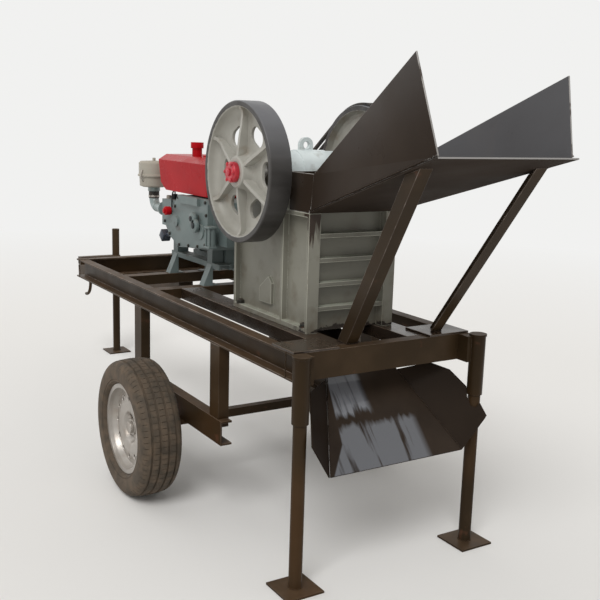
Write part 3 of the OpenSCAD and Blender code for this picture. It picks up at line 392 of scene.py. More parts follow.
for side, body in ((-1, "near_wheel"), (1, "far_wheel")):
    bm = bmesh.new()
    loop = [bm.verts.new((axle_x, side * wheel_y + y, axle_z + r)) for y, r in section]
    for a, b in zip(loop, loop[1:] + loop[:1]):
        bm.edges.new((a, b))
    geom = bm.verts[:] + bm.edges[:]
    for wide in (lug, lug, sipe):
        known = set(bm.faces)
        geom = bmesh.ops.spin(
            bm, geom=geom, cent=axle_mid, axis=(0, 1, 0), angle=wide, steps=1
        )["geom_last"]
    for face in set(bm.faces) - known:
        middle = face.calc_center_median() - axle_mid
        across, out = middle.y - side * wheel_y, Vector((middle.x, 0.0, middle.z))
        if out.length > tread_from and any(low <= across <= high for low, high in siped):
            deep = bmesh.ops.extrude_discrete_faces(bm, faces=[face])["faces"]
            bmesh.ops.translate(bm, vec=out.normalized() * -sipe_depth, verts=deep[0].verts[:])
    bmesh.ops.spin(
        bm, geom=bm.verts[:] + bm.edges[:] + bm.faces[:], cent=axle_mid, axis=(0, 1, 0),
        angle=math.tau * (blocks - 1) / blocks, steps=blocks - 1, use_duplicate=True,
    )
    bmesh.ops.remove_doubles(bm, verts=bm.verts[:], dist=0.0001)
    name = "near_tyre" if side < 0 else "far_tyre"
    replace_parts(start_piece(name + "_tread", bm, rubber, body, 32), name)


# Wheels: pressed steel discs in silver paint, with a ring of lipped vents, four nuts, a pressed dust cap and
# a valve. The dirt of the road lies thin on them.
def facing(axis, at):
    """Places a shape made on +Z so that it stands at a point and looks along axis."""
    return Matrix.Translation(at) @ Vector(axis).to_track_quat("Z", "Y").to_matrix().to_4x4()


def add_drum(bm, axis, at, radius, height, segments, edge=0.0, top=None):
    """A turned or round part standing on a point, its rims rounded by edge, tapering to top."""
    shape = bmesh.ops.create_cone(
        bm, cap_ends=True, segments=segments, radius1=radius,
        radius2=radius if top is None else top, depth=height,
        matrix=facing(axis, at) @ Matrix.Translation((0, 0, height / 2)),
    )["verts"]
    if edge:
        rims = {e for v in shape for e in v.link_edges if any(len(f.verts) > 4 for f in e.link_faces)}
        bmesh.ops.bevel(
            bm, geom=list(rims), offset=edge, segments=2, profile=0.5, affect="EDGES", material=-1
        )


def add_bolt(bm, axis, at, across, washer=True):
    """A hexagon head or nut on its washer, with the bolt's end standing a little proud."""
    at, axis = Vector(at), Vector(axis)
    if washer:
        add_drum(bm, axis, at, across * 0.62, across * 0.1, 20)
    add_drum(bm, axis, at + axis * across * 0.1, across * 0.56, across * 0.38, 6, across * 0.03)
    add_drum(bm, axis, at + axis * across * 0.46, across * 0.27, across * 0.14, 12, across * 0.03)


def add_pipe(bm, points, radius, segments, rounds):
    """A bent pipe or rod through points, its corners rounded by cutting them rounds times."""
    points = [Vector(p) for p in points]
    for _ in range(rounds):
        cut = [points[0]]
        for a, b in zip(points, points[1:]):
            cut += [a.lerp(b, 0.25), a.lerp(b, 0.75)]
        points = cut[:1] + cut[2:-1] + [points[-1]]
    ring = None
    for i, point in enumerate(points):
        along = (points[min(i + 1, len(points) - 1)] - points[max(i - 1, 0)]).normalized()
        circle = bmesh.ops.create_circle(bm, segments=segments, radius=radius)["verts"]
        side = Vector((0, 1, 0)) if abs(along.y) < 0.9 else Vector((1, 0, 0))
        across = along.cross(side).normalized()
        turned = Matrix((across, along.cross(across), along)).transposed().to_4x4()
        bmesh.ops.transform(bm, matrix=Matrix.Translation(point) @ turned, verts=circle)
        edges = list({e for v in circle for e in v.link_edges})
        if ring:
            bmesh.ops.bridge_loops(bm, edges=ring + edges)
        else:
            bmesh.ops.contextual_create(bm, geom=circle)
        ring = edges
    bmesh.ops.contextual_create(bm, geom=circle)


def around(centre, radius, count, first=0.0):
    """Points spread evenly on a circle that faces the machine's side, from the angle first in degrees."""
    angles = [math.radians(first + 360 * i / count) for i in range(count)]
    return [centre + radius * Vector((math.cos(a), 0.0, math.sin(a))) for a in angles]


silver, tree, shader = start_finish("wheel_silver")
bright = mottle(tree, 7.0, 4.0, 0.3, 0.7, (0.35, 0.325, 0.295), (0.47, 0.44, 0.405))
dirty = mottle(tree, 20.0, 7.0, 0.48, 0.85, bright, (0.26, 0.19, 0.13), 0.55)
link(tree, dirty, shader.inputs["Base Color"])
shader.inputs["Metallic"].default_value = 0.55
shader.inputs["Roughness"].default_value = 0.36
relief(tree, shader, 200.0, 3.0, 0.0002, 0.4)

nut_circle, nut_w = 0.047, 0.020
vent_circle, vent_r, lip_r = 0.130, 0.0125, 0.0022
valve_circle, valve_r, valve_l = 0.150, 0.0045, 0.032
for side, body in ((-1, "near_wheel"), (1, "far_wheel")):
    dress("near_rim" if side < 0 else "far_rim", silver, 0.0012)
    nuts = bmesh.new()
    out = Vector((0, side, 0))
    disc, cap, vents = (axle_mid + out * (wheel_y + proud) for proud in (0.016, 0.030, 0.040))
    for at in around(disc, nut_circle, 4, 45):
        add_bolt(nuts, out, at, nut_w, False)
    add_drum(nuts, out, cap, 0.026, 0.014, 40, 0.003)
    for at in around(vents, vent_circle, 12):
        along = (at - vents).normalized()
        lip = bmesh.ops.create_circle(nuts, segments=8, radius=lip_r)["verts"]
        turned = Matrix((along, out, along.cross(out))).transposed().to_4x4()
        bmesh.ops.transform(nuts, matrix=Matrix.Translation(at + along * vent_r) @ turned, verts=lip)
        bmesh.ops.spin(
            nuts, geom=lip + list({e for v in lip for e in v.link_edges}), cent=at, axis=out,
            angle=math.tau, steps=24, use_merge=True,
        )
    valve = cap + Vector((valve_circle, 0.0, 0.0))
    add_pipe(nuts, [valve, valve + out * valve_l - Vector((0.002, 0.0, 0.0))], valve_r, 10, 0)
    start_piece("near_wheel_nuts" if side < 0 else "far_wheel_nuts", nuts, silver, body)


# Crusher: heavy plate and castings in warm grey, welded into a box and bolted down through its base
# flange. Dark paint has run down the front flange, and dirt has caught along the base.
def own_axes(tree):
    """The piece's own X, Y and Z."""
    where = tree.nodes.new("ShaderNodeTexCoord")
    axes = tree.nodes.new("ShaderNodeSeparateXYZ")
    link(tree, where.outputs["Object"], axes.inputs["Vector"])
    return tuple(axes.outputs)


def uneven_gloss(tree, shader, scale, detail, shiny, dull):
    """Roughness that drifts from shiny to dull over the piece."""
    link(tree, spots(tree, scale, detail, 0.3, 0.7, shiny, dull), shader.inputs["Roughness"])


sides_low, sides_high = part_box("side_frames")
wall_low, wall_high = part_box("front_wall")
base_top, wall_face = deck + 0.020, wall_low.x + 0.026

grey, tree, shader = start_finish("crusher_grey")
x, y, z = own_axes(tree)
even = mottle(tree, 3.5, 4.0, 0.3, 0.7, (0.182, 0.176, 0.144), (0.240, 0.234, 0.194))
even = mottle(tree, 11.0, 8.0, 0.54, 0.72, even, (0.115, 0.088, 0.060), 0.6)
# Painted shade: forward-looking faces between the side plates are painted darker, as the shade in the front
# wall's panels.
middle = maths(tree, "LESS_THAN", maths(tree, "ABSOLUTE", y, 0.0), wall_high.y - 0.003)
painted_front_shade = times(tree, middle, looking(tree, "X", 0.8, 0.95), 0.55)
even = over(tree, painted_front_shade, even, (0.105, 0.102, 0.082))
ledge = times(tree, looking(tree, "Z", 0.6, 0.9), spots(tree, 16.0, 5.0, 0.3, 0.6, 0.5, 1.0))
even = over(tree, ledge, even, (0.36, 0.375, 0.31))
front_face = maths(tree, "GREATER_THAN", x, wall_face)
near_edge = maths(tree, "LESS_THAN", y, 0.005 - wall_high.y)
fall = between(tree, z, wall_high.z - 0.192, wall_high.z - 0.002, 0.0, 0.40)
drop = maths(tree, "ADD", speckle(tree, 95.0, 3.0, (1.0, 1.0, 0.05)), fall)
run = times(tree, front_face, near_edge, between(tree, drop, 0.76, 0.80))
even = over(tree, run, even, (0.035, 0.022, 0.015))
clumps = spots(tree, 30.0, 6.0, 0.40, 0.70, 0.0, 0.5)
low_dirt = times(tree, between(tree, z, base_top + 0.07, base_top), clumps)
even = over(tree, low_dirt, even, (0.115, 0.085, 0.055))
ragged = maths(tree, "ADD", z, spots(tree, 38.0, 6.0, 0.3, 0.7, -0.012, 0.012))
foot_line = times(tree, between(tree, ragged, deck + 0.013, deck + 0.009), between(tree, x, 1.10, 1.15))
link(tree, over(tree, foot_line, even, (0.024, 0.017, 0.013)), shader.inputs["Base Color"])
uneven_gloss(tree, shader, 8.0, 5.0, 0.36, 0.58)
shader.inputs["Specular IOR Level"].default_value = 0.3
relief(tree, shader, 34.0, 5.0, 0.0009, 0.45)
relief(tree, shader, 230.0, 3.0, 0.0003, 0.4)
# crusher_edge: paler grey on the crusher's rounded edges, partly rubbed paint and partly a painted highlight
# along the ribs and flanges.
crusher_edge = brushed_coat("crusher_edge", (0.36, 0.36, 0.30), (0.16, 0.13, 0.10), 0.45, dust=0.2, wear=0.60)
for node, edge in (
    ("side_frames", 0.0024), ("front_wall", 0.0014), ("rear_wall", 0.002), ("bearing_housings", 0.003),
):
    dress(node, grey, edge, 3, crusher_edge)


# Swing jaw: a steel casting sprayed in pale bluish primer, with its lifting eye. Grease and dust have
# smudged it, and it is left without a top coat.
pale_primer, tree, shader = start_finish("jaw_primer")
chalk = mottle(tree, 9.0, 4.0, 0.3, 0.7, (0.60, 0.665, 0.665), (0.76, 0.83, 0.83))
smudged = mottle(tree, 20.0, 7.0, 0.56, 0.76, chalk, (0.25, 0.22, 0.18), 0.5)
link(tree, smudged, shader.inputs["Base Color"])
uneven_gloss(tree, shader, 12.0, 4.0, 0.38, 0.6)
relief(tree, shader, 40.0, 5.0, 0.0008, 0.45)
dress("swing_jaw", pale_primer, 0.004, 3)


# Jaw plates, cheeks and toggle: bare manganese steel, rust-brown where stone has not scoured it. The
# toothed plates are cast, and the cheeks and the toggle are cut from plate.
worn_steel, tree, shader = start_finish("worn_jaw_steel")
scoured = mottle(
    tree, 18.0, 6.0, 0.35, 0.7, (0.09, 0.075, 0.06), (0.27, 0.26, 0.24), stretch=(1.0, 1.0, 0.3)
)
link(tree, scoured, shader.inputs["Base Color"])
shader.inputs["Metallic"].default_value = 0.8
uneven_gloss(tree, shader, 40.0, 5.0, 0.35, 0.7)
relief(tree, shader, 60.0, 6.0, 0.0012, 0.5)
for node in ("fixed_jaw", "swing_jaw_plate", "cheek_plates", "toggle_plate"):
    dress(node, worn_steel, 0.002)


# Shaft and tension rod: turned steel, bright where it is wiped and brown where oil has held the dust.
# The shaft turns in the two housings, and the rod holds the swing jaw back.
oily_steel, tree, shader = start_finish("oily_steel")
turned = mottle(tree, 26.0, 6.0, 0.4, 0.7, (0.34, 0.33, 0.31), (0.12, 0.085, 0.06))
link(tree, turned, shader.inputs["Base Color"])
shader.inputs["Metallic"].default_value = 0.9
uneven_gloss(tree, shader, 30.0, 4.0, 0.25, 0.5)
for node in ("eccentric_shaft", "tension_rod"):
    dress(node, oily_steel, 0.002)


# Base bolts: four black steel bolts with their washers hold the crusher down on its bearers. They stand in
# the corners of the base flange.
rust_brown = (0.13, 0.045, 0.016)
dark_bolts = brushed_coat("bolt_black", (0.026, 0.026, 0.022), rust_brown, 0.42, dust=0.2, wear=0.63)
bolts = bmesh.new()
for side in (-1, 1):
    for x in (sides_low.x + 0.040, sides_high.x - 0.040):
        add_bolt(bolts, (0, 0, 1), (x, side * (sides_high.y - 0.014), base_top), 0.030)
start_piece("base_bolts", bolts, dark_bolts, "chassis")


# Welds of the crusher: fillets where the ribs, the base flange and the front wall meet the side plates,
# sprayed over with the same grey.
plate_y, wall_y = sides_high.y - 0.025, wall_high.y - 0.001
bays, rib_faces, rib_top = ((0.636, 1.004), (1.022, 1.188)), (0.6365, 1.0045, 1.0215, 1.1885), 1.19
cross_rib_low, cross_rib_step = 0.9225, 0.092
beads = bmesh.new()
for side in (-1, 1):
    y = side * plate_y
    for i, (x, end) in enumerate(bays):
        add_bead(beads, (x, y, base_top), (end, y, base_top), 0.006, 40 + i)
    for i, x in enumerate(rib_faces):
        add_bead(beads, (x, y, base_top), (x, y, rib_top), 0.005, 44 + i)
    y = side * wall_y
    add_bead(beads, (wall_face, y, base_top), (wall_face, y, wall_high.z), 0.007, 50)
for i in range(4):
    x, y, z = wall_face - 0.0005, wall_high.y - 0.005, cross_rib_low + cross_rib_step * i
    add_bead(beads, (x, -y, z), (x, y, z), 0.006, 52 + i)
start_piece("crusher_welds", beads, grey, "chassis", 60)


# Bearing covers: a turned ring on each housing, held by six small bolts, with a grease nipple on top of the
# housing. They are sprayed with the crusher.
shaft = pivots["rotor_spin"]
housing_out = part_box("bearing_housings")[1].y
rim = [(0.0440, 0.0), (0.0440, 0.013), (0.0560, 0.013), (0.0660, 0.009), (0.0660, 0.0)]
screw_circle, screw_w, housing_top, nipple_in = 0.060, 0.010, 0.0735, 0.023
covers = bmesh.new()
for side in (-1, 1):
    out = Vector((0, side, 0))
    ring = [covers.verts.new(shaft + out * (housing_out + y) + Vector((0.0, 0.0, r))) for r, y in rim]
    edges = [covers.edges.new(pair) for pair in zip(ring, ring[1:] + ring[:1])]
    bmesh.ops.spin(
        covers, geom=ring + edges, cent=shaft, axis=(0, 1, 0), angle=math.tau, steps=48, use_merge=True
    )
    for at in around(shaft + out * (housing_out + 0.0105), screw_circle, 6, 30):
        add_bolt(covers, out, at, screw_w, False)
    nipple = shaft + out * (housing_out - nipple_in) + Vector((0.0, 0.0, housing_top))
    add_drum(covers, (0, 0, 1), nipple, 0.006, 0.012, 12, 0.001)
start_piece("bearing_covers", covers, grey, "chassis")


# Flywheels: iron castings with six ribbed spokes. The dished inside is painted grey, and the turned rim is
# bare iron, worn dark by the belt and by hands, with a painted sky reflection making it paler on top.
rim_inner = 0.2500
cast_grey, tree, shader = start_finish("flywheel_cast")
where = tree.nodes.new("ShaderNodeTexCoord")
to_axis = tree.nodes.new("ShaderNodeMapping")
to_axis.inputs["Location"].default_value = (-shaft.x, 0.0, -shaft.z)
to_axis.inputs["Scale"].default_value = (1.0, 0.0, 1.0)
from_axis = tree.nodes.new("ShaderNodeVectorMath")
from_axis.operation = "LENGTH"
link(tree, where.outputs["Object"], to_axis.inputs["Vector"])
link(tree, to_axis.outputs["Vector"], from_axis.inputs[0])
brush_line = maths(tree, "ADD", from_axis.outputs["Value"], spots(tree, 60.0, 4.0, 0.2, 0.8, -0.0012, 0.0012))
bare = between(tree, brush_line, rim_inner, rim_inner + 0.0015)
paint = mottle(tree, 5.0, 5.0, 0.3, 0.7, (0.29, 0.28, 0.245), (0.42, 0.41, 0.37))
paint = mottle(tree, 15.0, 8.0, 0.56, 0.74, paint, (0.22, 0.17, 0.12), 0.55)
iron = mottle(
    tree, 12.0, 6.0, 0.3, 0.7, (0.040, 0.037, 0.034), (0.080, 0.076, 0.073), stretch=(1.0, 0.3, 1.0)
)
# Painted reflection: the bare rim is painted paler and bluish where it looks up, as the sky it mirrors.
iron = over(tree, looking(tree, "Z", 0.15, 0.75), iron, (0.155, 0.155, 0.163))
link(tree, over(tree, bare, paint, iron), shader.inputs["Base Color"])
link(tree, times(tree, bare, 0.45), shader.inputs["Metallic"])
uneven_gloss(tree, shader, 12.0, 5.0, 0.34, 0.56)
shader.inputs["Specular IOR Level"].default_value = 0.35
relief(tree, shader, 26.0, 4.0, 0.0016, 0.45)
relief(tree, shader, 190.0, 4.0, 0.0005, 0.5)
dress("flywheels", cast_grey, 0.003, 3)


# Hub caps: turned steel caps in red enamel over the ends of the shaft, each held by six screws round a
# raised boss.
red_boss, tree, shader = start_finish("hub_red_enamel")
red = mottle(tree, 30.0, 5.0, 0.35, 0.65, (0.40, 0.016, 0.03), (0.58, 0.035, 0.05))
chipped = mottle(tree, 50.0, 6.0, 0.62, 0.70, red, (0.20, 0.09, 0.06))
link(tree, chipped, shader.inputs["Base Color"])
shader.inputs["Roughness"].default_value = 0.35
relief(tree, shader, 90.0, 4.0, 0.0006, 0.5)
dress("hub_caps", red_boss, 0.002)
cap_y, cap_circle, cap_screw_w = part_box("hub_caps")[1].y, 0.034, 0.013
caps = bmesh.new()
for side in (-1, 1):
    out = Vector((0, side, 0))
    for at in around(shaft + out * (cap_y - 0.004), cap_circle, 6):
        add_bolt(caps, out, at, cap_screw_w, False)
    add_drum(caps, out, shaft + out * (cap_y - 0.001), 0.015, 0.008, 32, 0.003)
start_piece("hub_cap_screws", caps, red_boss, "rotor")


# Hopper and chute: folded and welded 5 mm sheet in deep gloss, nearly black. The hopper's thin edges are
# painted light, partly as steel rubbed bright and partly as a painted highlight, and the varnish has pooled
# down the chute's floor, where it mirrors the sky and a painted sky reflection lightens its colour.
def pools_with_painted_reflection(tree, shader, deep):
    """Two pools with brushed ends down the chute's floor, cut off along the near cheek's fold; their clear
    coat is real, and their colour is a painted sky reflection, pale in the upper pool and dark blue-grey in
    the lower.
    """
    upper_end, lower_start, soft = 1.400, 1.432, 0.008
    x, y, _ = own_axes(tree)
    strokes = spots(tree, 34.0, 8.0, 0.3, 0.7, -0.013, 0.013, (0.22, 1.0, 0.22))
    down = maths(tree, "ADD", x, strokes)
    above = times(
        tree, between(tree, down, upper_end + soft, upper_end - soft), between(tree, y, -0.015, -0.045)
    )
    below = times(
        tree, between(tree, down, lower_start - soft, lower_start + soft), between(tree, y, 0.16, 0.13)
    )
    streaks = spots(tree, 30.0, 6.0, 0.36, 0.46, stretch=(0.10, 1.0, 0.10))
    upper_fold, lower_fold = (
        maths(tree, "SUBTRACT", at_origin, times(tree, x, slope))
        for at_origin, slope in ((0.154, 0.243), (1.388, 1.08))
    )
    inside = maths(tree, "SUBTRACT", y, maths(tree, "MINIMUM", upper_fold, lower_fold))
    pool = times(tree, maths(tree, "MAXIMUM", above, below), streaks, looking(tree, "Z", 0.2, 0.5))
    pool = times(tree, pool, between(tree, inside, -0.002, 0.004))
    # Painted reflection: the pools' base colour is lifted to the sky's blue-grey, pale in the upper pool and
    # darker in the lower.
    pale = times(tree, pool, above)
    link(tree, maths(tree, "SUBTRACT", pool, times(tree, pale, 0.75)), shader.inputs["Coat Weight"])
    shader.inputs["Coat Roughness"].default_value = 0.04
    shader.inputs["Coat IOR"].default_value = 1.9
    deep = over(tree, times(tree, pool, 0.8), deep, (0.050, 0.055, 0.070))
    return over(tree, times(tree, pale, 0.9), deep, (0.185, 0.19, 0.205))


def sheet_coat(name, reflects_sky=False, pooled_and_reflecting=False, shine=0.07, tone=1.0):
    """Deep gloss on sheet, duller underneath; one flag paints a grey sky reflection on the far wing's inside,
    another pools varnish with a painted sky reflection in its colour.
    """
    finish, tree, shader = start_finish(name)
    x, y, _ = own_axes(tree)
    dark = tuple(tone * part for part in (0.024, 0.0165, 0.012))
    light = tuple(tone * part for part in (0.036, 0.0255, 0.0185))
    deep = mottle(tree, 2.5, 4.0, 0.3, 0.7, dark, light)
    if reflects_sky:
        # Painted reflection: the far wing's inside is painted grey, as the sky that its gloss mirrors.
        far_inside = times(tree, maths(tree, "GREATER_THAN", y, 0.0), looking(tree, "Y", -0.4, -0.8))
        wing_reflection = times(tree, far_inside, spots(tree, 3.0, 5.0, 0.3, 0.7, 0.78, 1.0))
        deep = over(tree, wing_reflection, deep, (0.108, 0.108, 0.114))
    dusty = times(tree, looking(tree, "Z", 0.35, 0.95), spots(tree, 7.0, 7.0, 0.30, 0.78, 0.02, 0.12))
    smear = spots(tree, 4.0, 6.0, 0.58, 0.85, 0.0, 0.10, (1.0, 1.0, 0.35))
    deep = over(tree, maths(tree, "MAXIMUM", dusty, smear), deep, (0.26, 0.18, 0.12))
    # The cut end of the hopper's lip is painted light grey, partly as bare steel and partly as a painted
    # highlight along the edge.
    cut_end_and_highlight = times(tree, looking(tree, "X", 0.55, 0.7), between(tree, x, 1.93, 1.95))
    deep = over(tree, cut_end_and_highlight, deep, (0.30, 0.29, 0.28))
    under = times(tree, looking(tree, "Z", -0.3, -0.8), 0.45)
    dull = maths(tree, "ADD", spots(tree, 6.0, 6.0, 0.3, 0.75, 0.26, 0.42), under)
    link(tree, dull, shader.inputs["Roughness"])
    shader.inputs["Specular IOR Level"].default_value = shine
    if pooled_and_reflecting:
        deep = pools_with_painted_reflection(tree, shader, deep)
    link(tree, deep, shader.inputs["Base Color"])
    relief(tree, shader, 2.2, 1.0, 0.012, 0.2)
    relief(tree, shader, 120.0, 3.0, 0.0003, 0.3)
    return finish


# sheet_edge: light grey on the hopper's rounded edges, partly steel rubbed bright and partly a painted
# highlight.
sheet_edge = brushed_coat(
    "sheet_edge", (0.30, 0.285, 0.27), (0.07, 0.055, 0.045), 0.38, dust=0.2, wear=0.53
)
gloss_sheet = sheet_coat("gloss_black_sheet")
cheek_sheet = sheet_coat("cheek_sheet", shine=0.03, tone=0.7)
for node, finish, edge_wear_and_highlight in (
    ("hopper_floor", gloss_sheet, sheet_edge), ("throat", gloss_sheet, sheet_edge),
    ("hopper_wings", sheet_coat("wing_sheet", reflects_sky=True), sheet_edge),
    ("chute_floor", sheet_coat("chute_sheet", pooled_and_reflecting=True, tone=0.72), None),
    ("chute_sides", cheek_sheet, None),
):
    dress(node, finish, 0.0022, 2, edge_wear_and_highlight)


# Far cheek: its plate reaches higher than the cheek's foot, beside the chute's neck, and has a blunt upper
# corner. It is 5 mm steel laid over the foot and welded on, and a round cut keeps it clear of the leg.
sheet, proud, leg_cut = 0.005, 0.001, leg_r + 0.00685
sides = frame["nodes"]["chute_sides"].data.polygons
foot = max((side for side in sides if side.center.y > 0 and side.normal.y < 0), key=lambda side: side.area)
inner_face = foot.normal.dot(foot.center) + proud


def onto_foot(point, along):
    """point moved along a direction until it lies on the plate's inner face."""
    point, along = Vector(point), Vector(along)
    return point + along * ((inner_face - foot.normal.dot(point)) / foot.normal.dot(along))


neck_side = [(1.296, 0.164, 0.687), (1.352, 0.282, 0.713), (1.406, 0.338, 0.691)]
lip_side = [(1.549, 0.412, 0.535), (1.545, 0.3015, 0.417)]
cut_from, cut_step = -132, 35
corners = [onto_foot(point, foot.normal) for point in neck_side]
for i in range(5):
    a = math.radians(cut_from + cut_step * i)
    beside_leg = (leg_x + leg_cut * math.cos(a), leg_y + leg_cut * math.sin(a), 0.0)
    corners.append(onto_foot(beside_leg, (0, 0, 1)))
corners += [onto_foot(point, foot.normal) for point in lip_side]
cheek = bmesh.new()
plate = cheek.faces.new([cheek.verts.new(corner) for corner in corners])
plate.normal_update()
grown = bmesh.ops.extrude_face_region(cheek, geom=[plate])["geom"]
back_face = [v for v in grown if isinstance(v, bmesh.types.BMVert)]
bmesh.ops.translate(cheek, verts=back_face, vec=foot.normal * -sheet)
start_piece("far_cheek_plate", cheek, cheek_sheet, "chassis")


# Welds of the sheets: the wings are welded to the floor and the throat, the cheeks to the chute, the struts
# at both ends; the beads are painted over.
seams = [
    ((1.212, -0.203, 1.304), (1.996, -0.289, 1.538), 0.006),
    ((1.212, 0.203, 1.304), (1.996, 0.261, 1.538), 0.006),
    ((1.205, -0.2005, 1.305), (1.244, -0.2005, 1.434), 0.005),
    ((1.205, 0.2005, 1.305), (1.244, 0.2005, 1.434), 0.005),
    ((1.294, -0.158, 0.693), (1.545, -0.297, 0.423), 0.006),
    ((1.294, 0.158, 0.693), (1.545, 0.297, 0.423), 0.006),
    ((1.336, -0.147, 0.8425), (1.392, -0.147, 0.8425), 0.007),
    ((1.396, -0.147, 0.8425), (1.396, -0.102, 0.8425), 0.007),
    ((1.336, 0.290, 0.8505), (1.392, 0.290, 0.8505), 0.007),
    ((1.396, 0.245, 0.8505), (1.396, 0.290, 0.8505), 0.007),
    ((1.806, -0.249, 1.472), (1.880, -0.252, 1.494), 0.006),
    ((1.886, -0.250, 1.496), (1.886, -0.207, 1.496), 0.006),
    ((1.806, 0.2755, 1.472), (1.880, 0.2725, 1.494), 0.006),
    ((1.886, 0.227, 1.496), (1.886, 0.272, 1.496), 0.006),
]
beads = bmesh.new()
for i, (start, end, size) in enumerate(seams):
    add_bead(beads, start, end, size, 60 + i)
start_piece("sheet_welds", beads, gloss_sheet, "chassis", 60)


# Engine: a single-cylinder diesel lying along the frame on a welded stand. The rough castings of block and
# gear cover are sprayed blue-grey with the stand, and small bolts hold the cover all round.
engine_grey = brushed_coat(
    "engine_blue_grey", (0.125, 0.158, 0.155), (0.07, 0.065, 0.055), 0.32, dust=0.22, wear=0.66, wave=0.0006
)
for node, edge in (("engine_block", 0.006), ("gear_cover", 0.005), ("engine_stand", 0.002)):
    dress(node, engine_grey, edge, 3)
face_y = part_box("gear_cover")[0].y
pulley_low, pulley_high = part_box("engine_pulley")
crank = (pulley_low + pulley_high) / 2
cover_bolts = [
    (-0.335, -0.012), (-0.276, -0.068), (-0.164, -0.109), (-0.060, -0.101), (0.040, -0.092), (0.120, -0.076),
    (0.129, -0.010), (0.129, 0.060), (0.118, 0.117), (0.020, 0.117), (-0.090, 0.117), (-0.176, 0.117),
    (-0.213, 0.072),
]
bolts = bmesh.new()
for x, z in cover_bolts:
    add_bolt(bolts, (0, -1, 0), (crank.x + x, face_y + 0.016, crank.z + z), 0.013)
start_piece("cover_bolts", bolts, dark_bolts, "chassis")


# Tank, cleaner, elbow, pulley and belt: a folded tank in red enamel, a round air cleaner in cream paint, a
# cast elbow, and a cast pulley with one wide rubber belt up to the far flywheel.
elbow_grey = brushed_coat(
    "elbow_grey", (0.20, 0.245, 0.24), (0.10, 0.09, 0.07), 0.20, dust=0.2, wear=0.64, shine=0.6
)
tank_red = brushed_coat(
    "tank_red", (0.37, 0.006, 0.010), (0.16, 0.03, 0.02), 0.20, dust=0.05, wear=0.72, shine=0.06
)
cleaner_grey = brushed_coat(
    "cleaner_grey", (0.30, 0.28, 0.235), (0.12, 0.07, 0.04), 0.38, dust=0.3, wear=0.66
)
black_iron = brushed_coat("pulley_black", (0.045, 0.046, 0.047), rust_brown, 0.42, dust=0.2, wear=0.57)
belt_rubber, tree, shader = start_finish("belt_rubber")
powdered = mottle(tree, 30.0, 6.0, 0.4, 0.8, (0.018, 0.017, 0.016), (0.07, 0.055, 0.042))
link(tree, powdered, shader.inputs["Base Color"])
shader.inputs["Roughness"].default_value = 0.7
relief(tree, shader, 300.0, 2.0, 0.0003, 0.5)
for node, finish, edge, segments in (
    ("intake_elbow", elbow_grey, 0.002, 2), ("fuel_tank", tank_red, 0.008, 4),
    ("air_cleaner", cleaner_grey, 0.003, 3), ("engine_pulley", black_iron, 0.003, 3),
    ("drive_belt", belt_rubber, 0.0015, 2),
):
    dress(node, finish, edge, segments)


# Fittings on the gear cover: a red screwed plug at its upper corner, and the injection pump's oval boss with
# two open ports. They are bolted or screwed into the casting.
outward, plug_x, plug_z = (0, -1, 0), -0.104, 1.175
plug = bmesh.new()
add_drum(plug, outward, (plug_x, face_y + 0.012, plug_z), 0.021, 0.030, 32, 0.004)
add_drum(plug, outward, (plug_x, face_y - 0.017, plug_z), 0.012, 0.008, 6, 0.001)
start_piece("red_plug", plug, tank_red, "chassis")
boss = bmesh.new()
for x, z in ((0.184, 1.164), (0.210, 1.136)):
    add_drum(boss, outward, (x, face_y + 0.004, z), 0.032, 0.015, 32, 0.003, 0.030)
start_piece("pump_boss", boss, engine_grey, "chassis")
dark_steel = brushed_coat(
    "dark_steel", (0.016, 0.020, 0.022), (0.040, 0.045, 0.047), 0.32, dust=0.10, wear=0.62, shine=0.15
)
ports = bmesh.new()
for x, z, radius in ((0.179, 1.166, 0.012), (0.206, 1.137, 0.0145)):
    add_drum(ports, outward, (x, face_y - 0.0105, z), radius, 0.005, 24, 0.001)
start_piece("pump_ports", ports, dark_steel, "chassis")


# Side housing: a round upright housing between two square lips at the front corner of the cover, with two
# long studs beside it. It is cast with the cover and sprayed with it.
def add_block(bm, low, high, edge):
    """A cast or cut block between two corners, its edges rounded."""
    low, high = Vector(low), Vector(high)
    shape = bmesh.ops.create_cube(
        bm, size=1.0,
        matrix=Matrix.Translation((low + high) / 2) @ Matrix.Diagonal((*(high - low), 1.0)),
    )["verts"]
    edges = {e for v in shape for e in v.link_edges}
    bmesh.ops.bevel(bm, geom=list(edges), offset=edge, segments=2, profile=0.5, affect="EDGES", material=-1)


lip_low, lip_high, lip_h = 1.046, 1.136, 0.010
drum_low, drum_h = lip_low + 0.008, 0.084
housing = bmesh.new()
for z in (lip_high, lip_low):
    add_block(housing, (0.304, -0.190, z), (0.354, -0.146, z + lip_h), 0.003)
for x in (0.312, 0.346):
    add_drum(housing, (0, 0, 1), (x, -0.182, drum_low), 0.005, drum_h, 12)
add_drum(housing, (0, 0, 1), (0.330, -0.163, drum_low), 0.020, drum_h, 32)
start_piece("side_housing", housing, engine_grey, "chassis")


# Oil gauge: a dark square head on an arm that is screwed into the side of the block below the cylinder
# head. The head is tilted on its arm and painted navy.
gauge_at, gauge_size, gauge_turn = Vector((-0.243, -0.140, 1.037)), 0.045, 38
navy = brushed_coat("gauge_navy", (0.020, 0.030, 0.048), (0.10, 0.13, 0.16), 0.3, dust=0.2, wear=0.62)
gauge = bmesh.new()
tilt = Matrix.Translation(gauge_at) @ Matrix.Rotation(math.radians(gauge_turn), 4, "Y")
head = bmesh.ops.create_cube(gauge, size=gauge_size, matrix=tilt)["verts"]
bmesh.ops.bevel(
    gauge, geom=list({e for v in head for e in v.link_edges}), offset=0.003, segments=2, profile=0.5,
    affect="EDGES", material=-1,
)
add_pipe(gauge, [gauge_at, (-0.170, -0.140, 1.050), (-0.090, -0.140, 1.068)], 0.010, 16, 2)
start_piece("oil_gauge", gauge, navy, "chassis")


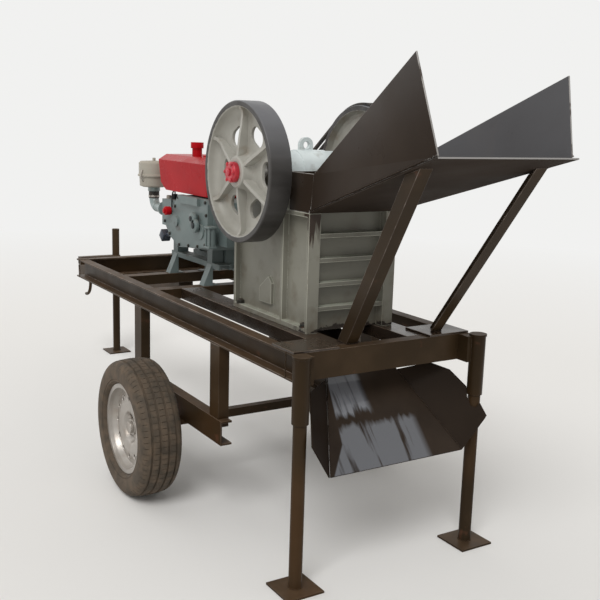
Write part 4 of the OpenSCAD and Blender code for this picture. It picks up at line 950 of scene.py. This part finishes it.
# Cylinder head fittings: the injector with its thin steel pipe that bends down to the pump, and a cream
# cap beside it. Both are screwed into the head.
injector_x, injector_y = -0.215, -0.100
injector = bmesh.new()
add_drum(injector, (0, 0, 1), (injector_x, injector_y, 1.200), 0.013, 0.046, 20, 0.002)
add_drum(injector, (0, 0, 1), (injector_x, injector_y, 1.222), 0.017, 0.010, 6, 0.001)
fuel_pipe = [
    (injector_x, injector_y, 1.240), (injector_x, injector_y, 1.262), (-0.185, -0.125, 1.262),
    (-0.150, -0.148, 1.225), (-0.140, -0.148, 1.150),
]
add_pipe(injector, fuel_pipe, 0.0035, 10, 3)
start_piece("injector", injector, dark_steel, "chassis")
cap = bmesh.new()
add_drum(cap, (0, 0, 1), (-0.262, -0.112, 1.196), 0.013, 0.040, 20, 0.003)
start_piece("cream_cap", cap, cleaner_grey, "chassis")


# Inlet: a rubber hose joins the elbow to the air cleaner with two clamps; spring clips and a wing nut hold
# the cleaner's lid.
cleaner_low, cleaner_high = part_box("air_cleaner")
cleaner_mid = (cleaner_low + cleaner_high) / 2
hose_r, hose_l, clamp_r = 0.0275, 0.060, 0.0290
hose_low = Vector((cleaner_mid.x, cleaner_mid.y, cleaner_low.z - 0.059))
lid_joint = Vector((cleaner_mid.x, cleaner_mid.y, cleaner_low.z + 0.059))
hose = bmesh.new()
add_drum(hose, (0, 0, 1), hose_low, hose_r, hose_l, 36, 0.002)
start_piece("inlet_hose", hose, belt_rubber, "chassis")

clamps = bmesh.new()
for z in (0.006, 0.042):
    add_drum(clamps, (0, 0, 1), hose_low + Vector((0, 0, z)), clamp_r, 0.009, 36, 0.001)
    add_bolt(clamps, (0, -1, 0), hose_low + Vector((0.014, -0.024, z + 0.0045)), 0.008, False)
clip, clip_r = [(0.081, 0.030), (0.090, 0.012), (0.090, -0.012), (0.077, -0.030)], 0.0028
for angle in (-70, 50, 170):
    out = Vector((math.cos(math.radians(angle)), math.sin(math.radians(angle)), 0.0))
    add_pipe(clamps, [lid_joint + out * r + Vector((0, 0, z)) for r, z in clip], clip_r, 10, 2)
wing_from, wing_to, wing_half = 0.004, 0.019, 0.0015
for side in (-1, 1):
    ends = sorted((cleaner_mid.x + side * wing_from, cleaner_mid.x + side * wing_to))
    add_block(
        clamps, (ends[0], cleaner_mid.y - wing_half, cleaner_high.z - 0.011),
        (ends[1], cleaner_mid.y + wing_half, cleaner_high.z - 0.001), 0.001,
    )
start_piece("inlet_clamps", clamps, silver, "chassis")
